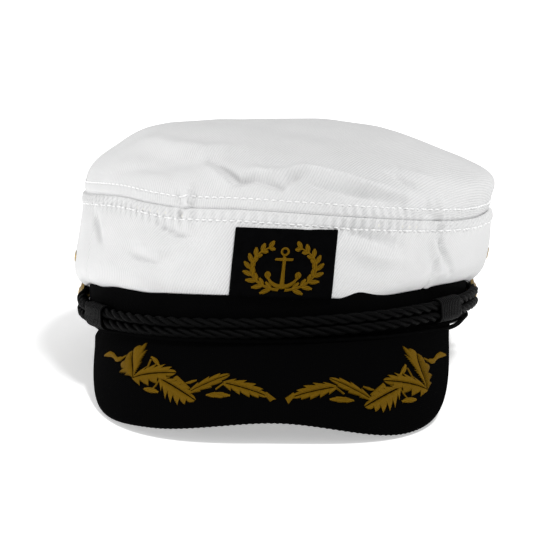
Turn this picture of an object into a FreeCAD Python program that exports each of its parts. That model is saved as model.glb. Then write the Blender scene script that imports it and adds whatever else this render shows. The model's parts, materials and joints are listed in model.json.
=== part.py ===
import FreeCAD, Part
import math
import os
import Sketcher

# Yachting peaked cap: a padded cloth crown on a stiffened band, a curved visor, a doubled chin
# cord with two wound slides, and a brass button each side.  The cap is drawn in the head's own
# frame (+Z up the head, the brow towards -Y, the origin at the middle of the band's lower rim)
# and each sub-part is then laid nose up, as the cap lies on a table: on the corners of its visor
# and the back of its band.  In names, left and right are as seen from in front: right is +X, the
# wearer's left.

V = FreeCAD.Vector
UP = V(0, 0, 1)
ACROSS = V(1, 0, 0)

DRIVING = (
    ("head_width", 162.0, "inside width of the sweatband"),
    ("head_length", 200.0, "inside length of the sweatband"),
    ("end_radius", 70.0, "radius of the head oval at brow and nape"),
    ("sweat_wall", 1.4, "sweatband thickness"),
    ("sweat_height", 24.0, "sweatband height"),
    ("hollow", 1.1, "room behind the sweatband for the button retainers"),
    ("stiffener_wall", 0.7, "band stiffener thickness"),
    ("band_wall", 0.8, "band cloth thickness"),
    ("band_height", 17.2, "band height"),
    ("welt_wall", 0.9, "how far the band's lower welt stands out"),
    ("welt_height", 2.0, "welt height"),
    ("seam_height", 54.5, "height of the seam between crown wall and top"),
    ("crown_rise", 32.0, "rise of the padded top above its seam"),
    ("crown_power", 2.3, "squareness of the padded top's section"),
    ("crown_half_width", 94.5, "half width of the crown at its top seam"),
    ("crown_half_length", 105.0, "half length of the crown at its top seam"),
    ("crown_setback", 7.0, "how far the top seam's oval sits behind the band's"),
    ("crown_roundness", 0.87, "end radius of a crown oval over its half width"),
    ("cloth_wall", 1.2, "crown cloth with its interlining"),
    ("foam_wall", 0.8, "front stiffener thickness"),
    ("lining_wall", 0.6, "lining thickness"),
    ("front_panel_angle", 48.0, "half angle of the crown's front panel"),
    ("visor_slope", 38.0, "fall of the visor along its middle"),
    ("visor_half_width", 77.0, "half the distance between the visor's tips"),
    ("visor_tip_back", 43.0, "how far the tips are in front of the middle of the head"),
    ("visor_reach", 142.5, "how far the visor's edge is in front of the middle of the head"),
    ("visor_power", 2.6, "squareness of the visor's outline"),
    ("visor_board", 1.6, "visor board thickness"),
    ("visor_cover", 0.5, "visor cloth thickness, each side"),
    ("thread_pile", 0.8, "height of satin stitched embroidery"),
    ("badge_width", 43.0, "badge width"),
    ("badge_height", 29.0, "badge height"),
    ("badge_lean", 3.0, "lean of the badge's top towards the wearer's left"),
    ("badge_offset", 2.5, "how far the badge sits to the wearer's left"),
    ("badge_wall", 1.0, "badge felt thickness"),
    ("cord_diameter", 4.2, "chin cord diameter"),
    ("cord_spacing", 4.4, "distance between the two runs of the cord"),
    ("cord_standoff", 3.3, "cord's middle to the band's cloth"),
    ("cord_droop", 2.1, "fall of the cord from the buttons to the brow, in degrees"),
    ("cord_tail", 12.0, "distance from the button to the end of a run"),
    ("loop_wall", 1.5, "thickness of the cord's pressed end loops"),
    ("slide_wall", 0.6, "thickness of a wound slide"),
    ("slide_play", 0.3, "room between a slide and the cords inside it"),
    ("slide_angle", 8.6, "length of a slide, as an angle about the cord's side arc"),
    ("slide_left_at", 23.8, "place of the left slide, from the button"),
    ("slide_right_at", 29.4, "place of the right slide, from the button"),
    ("button_height", 10.5, "height of the buttons above the band's rim"),
    ("button_radius", 6.6, "button radius"),
    ("button_plate", 0.6, "thickness of a button's back plate"),
    ("button_dome", 2.6, "height of a button's dome"),
    ("button_shell", 0.5, "thickness of a button's dome"),
    ("post_radius", 1.2, "radius of a button's post"),
    ("post_play", 0.3, "room round a post, behind a button and between a loop and a run"),
    ("eyelet_radius", 2.6, "radius of a vent eyelet's flange"),
    ("eyelet_bore", 1.3, "radius of a vent eyelet's hole"),
    ("eyelet_metal", 0.4, "thickness of a vent eyelet's brass"),
    ("eyelet_height", 28.5, "height of the vent eyelets"),
    ("eyelet_spacing", 24.0, "distance between a side's two eyelets"),
    ("eyelet_middle", 4.0, "how far their middle is behind the middle of the head"),
    ("rest_tilt", 9.24, "nose-up tilt of the cap as it lies"),
)

doc = FreeCAD.newDocument("PeakedCap")
sheet = doc.addObject("Spreadsheet::Sheet", "Sizes")
for row, (alias, size, meaning) in enumerate(DRIVING, 1):
    sheet.set(f"A{row}", meaning)
    sheet.set(f"B{row}", str(size))
    sheet.setAlias(f"B{row}", alias)
doc.recompute()

parts = []
stance = {}


def bound(expression):
    """An expression with every driving name pointed at the sheet."""
    words = {alias for alias, size, meaning in DRIVING}
    pieces = expression.replace("(", "( ").replace(")", " )").split()
    return " ".join(f"Sizes.{word}" if word in words else word for word in pieces)


def number(expression):
    return float(sheet.evalExpression(expression))


# Offsets from the head oval, outwards, as expressions.
SWEAT_OUT = "sweat_wall"
STIFF_IN = "sweat_wall + hollow"
STIFF_OUT = f"{STIFF_IN} + stiffener_wall"
BAND_OUT = f"{STIFF_OUT} + band_wall"
WELT_OUT = f"{BAND_OUT} + welt_wall"
CORD_MIDDLE = f"{BAND_OUT} + cord_standoff"
SIDE_RADIUS = (
    "( ( head_width / 2 ) ^ 2 + ( head_length / 2 - end_radius ) ^ 2 - end_radius ^ 2 )"
    " / ( head_width - 2 * end_radius )"
)
SIDE_CENTRE = f"{SIDE_RADIUS} - head_width / 2"


def oval_arcs(half_width, half_length, end_radius, setback=0.0):
    """The four tangent arcs of an oval: front, right, back and left."""
    end_centre = half_length - end_radius
    side_radius = (half_width**2 + end_centre**2 - end_radius**2) / (2 * (half_width - end_radius))
    side_centre = side_radius - half_width
    turn = math.atan2(abs(end_centre), abs(side_centre))

    def arc(x, y, radius, first, last):
        return Part.ArcOfCircle(Part.Circle(V(x, y + setback, 0), UP, radius), first, last)

    return [
        arc(0, -end_centre, end_radius, math.pi + turn, 2 * math.pi - turn),
        arc(-side_centre, 0, side_radius, -turn, turn),
        arc(0, end_centre, end_radius, turn, math.pi - turn),
        arc(side_centre, 0, side_radius, math.pi - turn, math.pi + turn),
    ]


def head_arcs(offset):
    return oval_arcs(
        number("head_width / 2") + offset,
        number("head_length / 2") + offset,
        number("end_radius") + offset,
    )


# ---- Sketches and bodies -------------------------------------------------------------------


def new_body(label):
    body = doc.addObject("PartDesign::Body", label)
    body.Label = label
    parts.append(body)
    return body


def new_sketch(body, name, role, lift=None, axis=None, angle=None):
    """A sketch on one of the body's own planes, lifted or turned from it by the sheet."""
    plane = next(o for o in body.Origin.OriginFeatures if o.Role == role)
    sketch = body.newObject("Sketcher::SketchObject", name)
    sketch.AttachmentSupport = [(plane, "")]
    sketch.MapMode = "FlatFace"
    if axis:
        sketch.AttachmentOffset = FreeCAD.Placement(V(0, 0, 0), FreeCAD.Rotation(axis, 1.0))
        sketch.setExpression("AttachmentOffset.Rotation.Angle", bound(angle))
    for direction, height in (lift or {}).items():
        sketch.setExpression(f"AttachmentOffset.Base.{direction}", bound(height))
    return sketch


def rule(sketch, *terms):
    sketch.addConstraint(Sketcher.Constraint(*terms))


def dimension(sketch, name, terms, expression):
    """A named dimension, driven by the sheet."""
    index = sketch.addConstraint(Sketcher.Constraint(*terms, number(expression)))
    sketch.renameConstraint(index, name)
    sketch.setExpression(f"Constraints.{name}", bound(expression))


def draw_oval(sketch, name, offset, within=None):
    """A closed head oval in a sketch; a second one shares the first one's centres."""
    arcs = [sketch.addGeometry(arc, False) for arc in head_arcs(number(offset))]
    front, right, back, left = arcs
    for one, other in zip(arcs, arcs[1:] + arcs[:1]):
        rule(sketch, "Tangent", one, 2, other, 1)
    rule(sketch, "Equal", right, left)
    if within:
        for arc, centre in zip((front, right, back), within):
            rule(sketch, "Coincident", arc, 3, centre, 3)
    else:
        rule(sketch, "PointOnObject", front, 3, -2)
        rule(sketch, "PointOnObject", back, 3, -2)
        rule(sketch, "PointOnObject", right, 3, -1)
        rule(sketch, "Equal", front, back)
        middle = "head_length / 2 - end_radius"
        dimension(sketch, f"{name}_middle", ("DistanceY", front, 3, -1, 1), middle)
        dimension(sketch, f"{name}_side", ("Radius", right), f"{SIDE_RADIUS} + {offset}")
    dimension(sketch, f"{name}_end", ("Radius", front), f"end_radius + {offset}")
    return arcs


def draw_circle(sketch, name, radius, centre=V(0, 0, 0)):
    circle = sketch.addGeometry(Part.Circle(centre, UP, number(radius)), False)
    dimension(sketch, name, ("Radius", circle), radius)
    return circle


def draw_outline(sketch, points):
    """A closed outline of straight lines through points given as pairs of expressions."""
    corners = [V(number(x), number(y), 0) for x, y in points]
    lines = [
        sketch.addGeometry(Part.LineSegment(one, other), False)
        for one, other in zip(corners, corners[1:] + corners[:1])
    ]
    for line, following in zip(lines, lines[1:] + lines[:1]):
        rule(sketch, "Coincident", line, 2, following, 1)
    for line, (x, y) in zip(lines, points):
        for kind, size, letter in (("DistanceX", x, "x"), ("DistanceY", y, "y")):
            if size == "0":
                rule(sketch, "PointOnObject", line, 1, -2 if letter == "x" else -1)
            else:
                dimension(sketch, f"{letter}{line}", (kind, -1, 1, line, 1), size)
    return lines


def draw_slot(sketch, name, half_gap, radius):
    """An upright slot about the sketch's origin: two round ends joined by straight sides."""
    gap, size = number(half_gap), number(radius)
    top = sketch.addGeometry(Part.ArcOfCircle(Part.Circle(V(0, gap, 0), UP, size), 0, math.pi))
    low = sketch.addGeometry(
        Part.ArcOfCircle(Part.Circle(V(0, -gap, 0), UP, size), math.pi, 2 * math.pi)
    )
    left = sketch.addGeometry(Part.LineSegment(V(-size, gap, 0), V(-size, -gap, 0)))
    right = sketch.addGeometry(Part.LineSegment(V(size, -gap, 0), V(size, gap, 0)))
    for one, other in ((top, left), (left, low), (low, right), (right, top)):
        rule(sketch, "Tangent", one, 2, other, 1)
    rule(sketch, "Equal", top, low)
    rule(sketch, "Symmetric", top, 3, low, 3, -1, 1)
    rule(sketch, "PointOnObject", top, 3, -2)
    dimension(sketch, f"{name}_gap", ("DistanceY", -1, 1, top, 3), half_gap)
    dimension(sketch, f"{name}_radius", ("Radius", top), radius)


def pad(body, sketch, length):
    feature = body.newObject("PartDesign::Pad", "Pad")
    feature.Profile = sketch
    feature.setExpression("Length", bound(length))
    return feature


def spin(body, sketch, axis="X_Axis"):
    """A revolution about one of the body's own axes."""
    line = next(o for o in body.Origin.OriginFeatures if o.Role == axis)
    feature = body.newObject("PartDesign::Revolution", "Revolution")
    feature.Profile = sketch
    feature.ReferenceAxis = (line, [""])
    feature.Angle = 360
    return feature


def plain(label, shape):
    """A sub-part whose shape is lofted or cut from other shapes in this file."""
    feature = doc.addObject("Part::Feature", label)
    feature.Label = label
    feature.Shape = shape
    parts.append(feature)
    return feature


# ---- The band: four rings round the head -----------------------------------------------------


def make_ring(label, inner, outer, height, post_hole):
    """A ring between two head ovals; a post hole goes through both of its sides."""
    body = new_body(label)
    section = new_sketch(body, "Section", "XY_Plane")
    inside = draw_oval(section, "inner", inner)
    draw_oval(section, "outer", outer, inside)
    pad(body, section, height)
    if post_hole:
        hole = new_sketch(body, "PostHole", "YZ_Plane")
        circle = draw_circle(hole, "hole", "post_radius + post_play", V(0, 10, 0))
        rule(hole, "PointOnObject", circle, 3, -2)
        dimension(hole, "height", ("DistanceY", -1, 1, circle, 3), "button_height")
        doc.recompute()
        before = body.Shape.Volume
        pocket = body.newObject("PartDesign::Pocket", "Pocket")
        pocket.Profile = hole
        pocket.Type = "ThroughAll"
        pocket.SideType = "Symmetric"
        doc.recompute()
        if body.Shape.Volume >= before:
            raise SystemExit(f"{label}: the post holes cut nothing")


def make_band():
    make_ring("sweatband", "0", SWEAT_OUT, "sweat_height", False)
    make_ring("band_stiffener", STIFF_IN, STIFF_OUT, "band_height", True)
    make_ring("head_band", STIFF_OUT, BAND_OUT, "band_height", True)
    make_ring("band_welt", BAND_OUT, WELT_OUT, "welt_height", False)


# ---- The crown: wall panels, padded top, stiffener and lining ----------------------------------


def crown_oval(height, half_width, half_length, setback, inset):
    width = half_width - inset
    arcs = oval_arcs(width, half_length - inset, width * number("crown_roundness"), setback)
    wire = Part.Wire([arc.toShape() for arc in arcs])
    wire.translate(V(0, 0, height))
    return wire


def wall_solid(inset):
    """The crown wall as a filled solid, each section drawn in by inset."""
    foot_width = number("head_width / 2") + number(BAND_OUT)
    foot_length = number("head_length / 2") + number(BAND_OUT)
    top_width, top_length = number("crown_half_width"), number("crown_half_length")
    setback = number("crown_setback")
    low, high = number("band_height"), number("seam_height")
    rise = high - low
    bulge = top_width - foot_width
    sections = [
        (low, foot_width, foot_length, 0.0),
        (low + 0.26 * rise, foot_width + 0.66 * bulge, foot_length + 1.5, 0.22 * setback),
        (low + 0.60 * rise, foot_width + 0.95 * bulge, top_length + 0.8, 0.62 * setback),
        (high, top_width, top_length, setback),
    ]
    return Part.makeLoft([crown_oval(*section, inset) for section in sections], True)


def dome_solid(inset):
    """The padded top: ovals that shrink on a superellipse up to a small flat crown."""
    rise = number("crown_rise") - inset
    power = 2 / number("crown_power")
    sections = []
    for step in range(7):
        angle = math.radians(13.5 * step)
        shrink = math.cos(angle) ** power
        height = number("seam_height") + rise * math.sin(angle) ** power
        half_width = (number("crown_half_width") - inset) * shrink
        half_length = (number("crown_half_length") - inset) * shrink
        sections.append(crown_oval(height, half_width, half_length, number("crown_setback"), 0))
    return Part.makeLoft(sections, True)


def between(solid, outer, inner):
    """The shell of a crown solid between two insets."""
    return solid(outer).cut(solid(inner))


def sector(first, last, low, high):
    """A wedge of the head between two angles from the brow, anticlockwise from above."""
    reach = 400.0
    steps = max(2, math.ceil((last - first) / 60))
    angles = [math.radians(first + (last - first) * i / steps) for i in range(steps + 1)]
    corners = [V(0, 0, low)]
    corners += [V(reach * math.sin(a), -reach * math.cos(a), low) for a in angles]
    return Part.Face(Part.makePolygon(corners + corners[:1])).extrude(V(0, 0, high - low))


def wall_surface(side, y, height):
    """A point of the wall's outer face and the outward direction there."""
    wall = wall_solid(0)

    def reach(at_y, at_z):
        ray = Part.makeLine(V(0, at_y, at_z), V(side * 200, at_y, at_z))
        return max((v.Point for v in wall.common(ray).Vertexes), key=lambda p: side * p.x)

    point = reach(y, height)
    along = reach(y + 1, height) - reach(y - 1, height)
    upward = reach(y, height + 1) - reach(y, height - 1)
    outward = along.cross(upward)
    outward.normalize()
    return point, outward * (side if outward.x > 0 else -side)


def make_eyelets():
    """Two brass vent eyelets a side, each with a washer inside the cloth; returns their bores."""
    cloth, metal = number("cloth_wall"), number("eyelet_metal")
    flange, bore = number("eyelet_radius"), number("eyelet_bore")
    middle, half = number("eyelet_middle"), number("eyelet_spacing") / 2
    barrel = bore + metal
    bores = []
    for side, word in ((-1, "left"), (1, "right")):
        eyelets, washers = [], []
        for y in (middle - half, middle + half):
            point, outward = wall_surface(side, y, number("eyelet_height"))

            def disc(radius, low, high):
                return Part.makeCylinder(radius, high - low, point + outward * low, outward)

            tube = disc(barrel, -cloth - 2 * metal, metal).fuse(disc(flange, 0, metal))
            eyelets.append(tube.cut(disc(bore, -6, 3)).removeSplitter())
            washers.append(disc(flange, -cloth - 1.5 * metal, -cloth - metal / 2).cut(disc(barrel, -6, 3)))
            bores.append(disc(barrel, -6, 3))
        plain(f"vent_eyelets_{word}", Part.makeCompound(eyelets))
        plain(f"vent_washers_{word}", Part.makeCompound(washers))
    return bores


def make_crown():
    cloth = number("cloth_wall")
    foam = cloth + number("foam_wall")
    lining = foam + number("lining_wall")
    low, high = number("band_height"), number("seam_height")
    turn = number("front_panel_angle")
    bores = make_eyelets()
    wall = between(wall_solid, 0, cloth).cut(bores)
    plain("crown_front_panel", wall.common(sector(-turn, turn, low - 5, high + 5)))
    plain("crown_right_panel", wall.common(sector(turn, 180, low - 5, high + 5)))
    plain("crown_left_panel", wall.common(sector(-180, -turn, low - 5, high + 5)))
    plain("crown_top_panel", between(dome_solid, 0, cloth))
    foam_room = sector(-turn + 3, turn - 3, low + 1, high - 6)
    plain("front_stiffener", between(wall_solid, cloth, foam).common(foam_room))
    tape_room = Part.makeBox(400, 400, 4, V(-200, -200, high - 4.5))
    plain("crown_seam_tape", between(wall_solid, cloth, foam - 0.1).common(tape_room))
    skirt = between(wall_solid, foam, lining).cut(bores)
    plain("crown_lining", skirt.fuse(between(dome_solid, foam, lining)).removeSplitter())


# ---- The visor ---------------------------------------------------------------------------------


def visor_sheet(top, bottom):
    """A curved sheet under the brow whose straight lines all fall at the visor's slope."""
    slope = math.radians(number("visor_slope"))
    half_width = number("head_width / 2") + number(BAND_OUT)
    half_length = number("head_length / 2") + number(BAND_OUT)
    end_radius = number("end_radius") + number(BAND_OUT)
    squeeze = math.sin(slope)

    def tube(offset):
        arcs = oval_arcs(
            half_width + offset, half_length * squeeze + offset, end_radius / squeeze + offset
        )
        return Part.Face(Part.Wire([arc.toShape() for arc in arcs])).extrude(V(0, 0, 200))

    sheet_solid = tube(top).cut(tube(bottom))
    sheet_solid.translate(V(0, 0, -30))
    sheet_solid.rotate(V(0, 0, 0), ACROSS, 90 + number("visor_slope"))
    return sheet_solid


def visor_room(margin):
    """The upright block that the visor is cut from: its plan, below the band's rim."""
    half_width = number("visor_half_width") - margin
    back = number("visor_tip_back")
    reach = number("visor_reach") - back - margin
    power = 2 / number("visor_power")
    rim = []
    for step in range(17):
        angle = math.pi * step / 16
        x = math.copysign(abs(math.cos(angle)) ** power, math.cos(angle))
        rim.append(V(half_width * x, -back - reach * math.sin(angle) ** power, -90))
    edge = Part.BSplineCurve()
    edge.interpolate(rim)
    plan = Part.Wire([edge.toShape(), Part.makeLine(rim[-1], rim[0])])
    return Part.Face(plan).extrude(V(0, 0, 90))


def inside_band(offset, low, high):
    face = Part.Face(Part.Wire([arc.toShape() for arc in head_arcs(offset)]))
    face.translate(V(0, 0, low))
    return face.extrude(V(0, 0, high - low))


def leaf(x, y, heading, length, width):
    """A pointed leaf in plan: two arcs from its stem to its tip."""
    turn = FreeCAD.Rotation(UP, heading)
    stem, tip = V(x, y, -90), V(x, y, -90) + turn.multVec(V(length, 0, 0))
    middle = (stem + tip) * 0.5
    swell = turn.multVec(V(0, width / 2, 0))
    left = Part.Arc(stem, middle + swell, tip).toShape()
    right = Part.Arc(tip, middle - swell, stem).toShape()
    return Part.Face(Part.Wire([left, right])).extrude(V(0, 0, 180))


# The oak spray on the right half of the visor, leaf by leaf from its outer end: the stem's
# place, the heading, the length and the width.
SPRAY = (
    (74, -65, 235, 21, 6),
    (61, -96, 109, 12, 13),
    (55, -93, 232, 11, 5),
    (61, -96, 215, 23, 10),
    (56, -105, 230, 10, 6),
    (48, -107, 233, 23, 11),
    (38, -115, 197, 6, 4),
    (36, -121, 173, 17, 10),
    (29, -125, 195, 11, 5),
    (23, -121, 205, 23, 9),
)


def make_visor():
    cover, board = number("visor_cover"), number("visor_board")
    depths = (
        ("visor_top_cover", 0.0, -cover, 0.0),
        ("visor_board", -cover, -cover - board, 0.6),
        ("visor_under_cover", -cover - board, -2 * cover - board, 0.0),
    )
    tucked = inside_band(number(STIFF_IN), -90, 10)
    for label, top, bottom, margin in depths:
        layer = visor_sheet(top, bottom).common(visor_room(margin)).cut(tucked)
        plain(label, max(layer.Solids, key=lambda solid: solid.Volume))
    pile = visor_sheet(number("thread_pile"), 0.0)
    for side, word in ((-1, "left"), (1, "right")):
        leaves = []
        for x, y, heading, length, width in SPRAY:
            facing = heading if side > 0 else 180 - heading
            blade = leaf(side * x, y, facing, length, width).common(pile)
            # A leaf's prism also meets the far side of the pile's tube, behind the head.
            leaves.append(min(blade.Solids, key=lambda solid: solid.CenterOfMass.y))
        spray = leaves[0].fuse(leaves[1:]).removeSplitter()
        plain(f"visor_embroidery_{word}", spray)


# ---- The badge: felt, an anchor and a wreath ----------------------------------------------------


def badge_layer(low, high, outline):
    """A cut-out lying on the front of the crown wall between two heights of pile."""
    return between(wall_solid, -high, -low).common(outline)


def upright(face):
    """A face drawn about the badge's middle, stood up on the brow, leant and made a prism."""
    face.rotate(V(0, 0, 0), UP, -number("badge_lean"))
    face.rotate(V(0, 0, 0), ACROSS, 90)
    height = number("band_height") + number("badge_height") / 2
    face.translate(V(number("badge_offset"), -60, height))
    return face.extrude(V(0, -100, 0))


def rectangle(width, height, x=0.0, y=0.0):
    signs = ((-1, -1), (1, -1), (1, 1), (-1, 1))
    corners = [V(x + width * i / 2, y + height * j / 2, 0) for i, j in signs]
    return Part.Face(Part.makePolygon(corners + corners[:1]))


def ring_part(inner, outer, first, last, y=0.0):
    """A flat ring segment between two angles, in degrees."""
    angles = [math.radians(first), math.radians(last)]
    circles = [Part.Circle(V(0, y, 0), UP, radius) for radius in (inner, outer)]
    arcs = [Part.ArcOfCircle(circle, *angles).toShape() for circle in circles]
    ends = [Part.makeLine(*(circle.value(angle) for circle in circles)) for angle in angles]
    return Part.Face(Part.Wire(Part.__sortEdges__(arcs + ends)))


def make_badge():
    felt = number("badge_wall")
    top = felt + number("thread_pile")
    width, height = number("badge_width"), number("badge_height")
    plain("badge_patch", badge_layer(0.1, felt, upright(rectangle(width, height))))
    anchor = [
        rectangle(1.6, 13, 0, -0.5),
        rectangle(7, 1.3, 0, 4.2),
        ring_part(5.2, 6.8, 205, 335, -0.5),
        ring_part(0.9, 2.0, 0, 180, 7.4),
        ring_part(0.9, 2.0, 180, 360, 7.4),
    ]
    bodies = [badge_layer(felt, top, upright(face)) for face in anchor]
    plain("badge_anchor", bodies[0].fuse(bodies[1:]).removeSplitter())
    for word, first, last in (("left", 104, 250), ("right", -70, 76)):
        branch = ring_part(9.0, 12.0, first, last, -0.5)
        plain(f"badge_wreath_{word}", badge_layer(felt, top, upright(branch)))


# ---- The chin cord, its end loops and its slides -------------------------------------------------


def make_cord_run(label, height):
    """One run of the cord from button to button: three tangent arcs in the drooping plane."""
    body = new_body(label)
    lift = {"z": f"button_height + {height}"}
    path = new_sketch(body, "Path", "XY_Plane", lift, ACROSS, "cord_droop")
    front, right, back, left = head_arcs(number(CORD_MIDDLE))
    tail = math.asin(number("cord_tail") / right.Radius)
    first_arc = Part.ArcOfCircle(left.Circle, math.pi + tail, left.LastParameter)
    last_arc = Part.ArcOfCircle(right.Circle, right.FirstParameter, -tail)
    start, middle, end = (path.addGeometry(arc, False) for arc in (first_arc, front, last_arc))
    rule(path, "Tangent", start, 2, middle, 1)
    rule(path, "Tangent", middle, 2, end, 1)
    rule(path, "Equal", start, end)
    rule(path, "PointOnObject", middle, 3, -2)
    rule(path, "PointOnObject", start, 3, -1)
    rule(path, "PointOnObject", end, 3, -1)
    dimension(path, "middle", ("DistanceY", middle, 3, -1, 1), "head_length / 2 - end_radius")
    dimension(path, "front_radius", ("Radius", middle), f"end_radius + {CORD_MIDDLE}")
    dimension(path, "first_tail", ("DistanceY", start, 1, -1, 1), "cord_tail")
    dimension(path, "last_tail", ("DistanceY", end, 2, -1, 1), "cord_tail")
    doc.recompute()
    profile = body.newObject("Sketcher::SketchObject", "Profile")
    profile.AttachmentSupport = [(path, "Edge1")]
    profile.MapMode = "NormalToEdge"
    circle = draw_circle(profile, "cord", "cord_diameter / 2")
    rule(profile, "Coincident", circle, 3, -1, 1)
    doc.recompute()
    pipe = body.newObject("PartDesign::AdditivePipe", "Pipe")
    pipe.Profile = profile
    pipe.Spine = path
    doc.recompute()
    length = sum(edge.Length for edge in path.Shape.Edges)
    section = math.pi * number("cord_diameter") ** 2 / 4
    print(f"{label}: length {length:.1f}, volume over section times length "
          f"{body.Shape.Volume / (section * length):.4f}")


def make_end_loop(label, side):
    """The pressed loop at a cord's end: a flat tongue with a hole for the button's post."""
    body = new_body(label)
    inner = f"head_width / 2 + {BAND_OUT} + post_play"
    reach = inner if side > 0 else f"0 - ( {inner} + loop_wall )"
    lift = {"z": reach, "y": "button_height"}
    outline = new_sketch(body, "Outline", "YZ_Plane", lift, UP, "cord_droop")
    half = number("( cord_spacing + cord_diameter ) / 2")
    tail_length = "cord_tail - post_play"
    tail = number(tail_length)
    nose = outline.addGeometry(
        Part.ArcOfCircle(Part.Circle(V(0, 0, 0), UP, half), -math.pi / 2, math.pi / 2)
    )
    top = outline.addGeometry(Part.LineSegment(V(0, half, 0), V(-tail, half, 0)))
    end = outline.addGeometry(Part.LineSegment(V(-tail, half, 0), V(-tail, -half, 0)))
    low = outline.addGeometry(Part.LineSegment(V(-tail, -half, 0), V(0, -half, 0)))
    rule(outline, "Tangent", nose, 2, top, 1)
    rule(outline, "Coincident", top, 2, end, 1)
    rule(outline, "Coincident", end, 2, low, 1)
    rule(outline, "Tangent", low, 2, nose, 1)
    rule(outline, "Horizontal", top)
    rule(outline, "Vertical", end)
    rule(outline, "Coincident", nose, 3, -1, 1)
    dimension(outline, "half", ("Radius", nose), "( cord_spacing + cord_diameter ) / 2")
    dimension(outline, "tail", ("DistanceX", end, 1, -1, 1), tail_length)
    hole = draw_circle(outline, "hole", "post_radius + post_play + 0.2")
    rule(outline, "Coincident", hole, 3, -1, 1)
    pad(body, outline, "loop_wall")


def make_slide(label, side, place):
    """A wound slide: a slotted sleeve bent about the middle of the cord's side arc."""
    body = new_body(label)
    section = new_sketch(body, "Section", "XZ_Plane")
    section.setExpression("AttachmentOffset.Base.x", bound(f"{SIDE_RADIUS} + {CORD_MIDDLE}"))
    draw_slot(section, "inner", "cord_spacing / 2", "cord_diameter / 2 + slide_play")
    draw_slot(section, "outer", "cord_spacing / 2", "cord_diameter / 2 + slide_play + slide_wall")
    sleeve = spin(body, section, "Z_Axis")
    sleeve.Midplane = True
    sleeve.setExpression("Angle", bound("slide_angle"))
    turn = -number(place) if side > 0 else 180 + number(place)
    round_arc = FreeCAD.Placement(V(0, 0, 0), FreeCAD.Rotation(UP, turn))
    arc_middle = FreeCAD.Placement(V(-side * number(SIDE_CENTRE), 0, 0), FreeCAD.Rotation())
    droop = FreeCAD.Placement(
        V(0, 0, number("button_height")), FreeCAD.Rotation(ACROSS, number("cord_droop"))
    )
    stance[label] = droop * arc_middle * round_arc


def make_chin_cord():
    make_cord_run("chin_cord_upper_run", "cord_spacing / 2")
    make_cord_run("chin_cord_lower_run", "0 - cord_spacing / 2")
    make_end_loop("chin_cord_loop_left", -1)
    make_end_loop("chin_cord_loop_right", 1)
    make_slide("cord_slide_left", -1, "slide_left_at")
    make_slide("cord_slide_right", 1, "slide_right_at")


# ---- The side buttons -----------------------------------------------------------------------------


def make_dome(label, base, radius):
    """A button's thin dome, turned about the post's axis."""
    body = new_body(label)
    profile = new_sketch(body, "Profile", "XY_Plane")
    start, rim, rise = number(base), number(radius), number("button_dome")
    shell = number("button_shell")
    sphere = f"( ( {radius} ) ^ 2 + button_dome ^ 2 ) / ( 2 * button_dome )"
    ball = number(sphere)
    centre = V(start + rise - ball, 0, 0)
    inner_rim = math.sqrt((ball - shell) ** 2 - (ball - rise) ** 2)

    def cap(size, edge):
        return Part.ArcOfCircle(Part.Circle(centre, UP, size), 0, math.asin(edge / size))

    outer = profile.addGeometry(cap(ball, rim))
    inner = profile.addGeometry(cap(ball - shell, inner_rim))
    foot = profile.addGeometry(Part.LineSegment(V(start, rim, 0), V(start, inner_rim, 0)))
    tip = profile.addGeometry(Part.LineSegment(V(start + rise - shell, 0, 0), V(start + rise, 0, 0)))
    rule(profile, "Coincident", outer, 2, foot, 1)
    rule(profile, "Coincident", foot, 2, inner, 2)
    rule(profile, "Coincident", inner, 1, tip, 1)
    rule(profile, "Coincident", tip, 2, outer, 1)
    rule(profile, "Coincident", outer, 3, inner, 3)
    rule(profile, "PointOnObject", outer, 3, -1)
    rule(profile, "Horizontal", tip)
    rule(profile, "Vertical", foot)
    dimension(profile, "base", ("DistanceX", -1, 1, foot, 1), base)
    dimension(profile, "rim", ("DistanceY", -1, 1, foot, 1), radius)
    dimension(profile, "ball", ("Radius", outer), sphere)
    dimension(profile, "lining", ("Radius", inner), f"{sphere} - button_shell")
    spin(body, profile)
    return body


def make_buttons():
    """Each button: a dome on a back plate whose post runs through the loop and the band."""
    retainer_gap = "( hollow - button_shell ) / 2"
    post_end = f"head_width / 2 + {SWEAT_OUT} + {retainer_gap}"
    plate_back = f"head_width / 2 + {BAND_OUT} + loop_wall + 2 * post_play"
    plate_front = f"{plate_back} + button_plate"
    facing = {"right": 0, "left": 180}
    for word, turn in facing.items():
        plate = new_body(f"button_{word}_plate")
        profile = new_sketch(plate, "Profile", "XY_Plane")
        draw_outline(
            profile,
            (
                (post_end, "0"),
                (post_end, "post_radius"),
                (plate_back, "post_radius"),
                (plate_back, "button_radius"),
                (plate_front, "button_radius"),
                (plate_front, "0"),
            ),
        )
        spin(plate, profile)
        dome = make_dome(f"button_{word}_dome", plate_front, "button_radius - 0.3")
        retainer = new_body(f"button_{word}_retainer")
        washer = new_sketch(retainer, "Profile", "XY_Plane")
        washer_end = f"{post_end} + button_shell"
        draw_outline(
            washer,
            (
                (post_end, "post_radius"),
                (post_end, "post_radius + 2"),
                (washer_end, "post_radius + 2"),
                (washer_end, "post_radius"),
            ),
        )
        spin(retainer, washer)
        turned = FreeCAD.Placement(V(0, 0, number("button_height")), FreeCAD.Rotation(UP, turn))
        for body in (plate, dome, retainer):
            stance[body.Label] = turned


# ---- The cap as it lies ----------------------------------------------------------------------------


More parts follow.
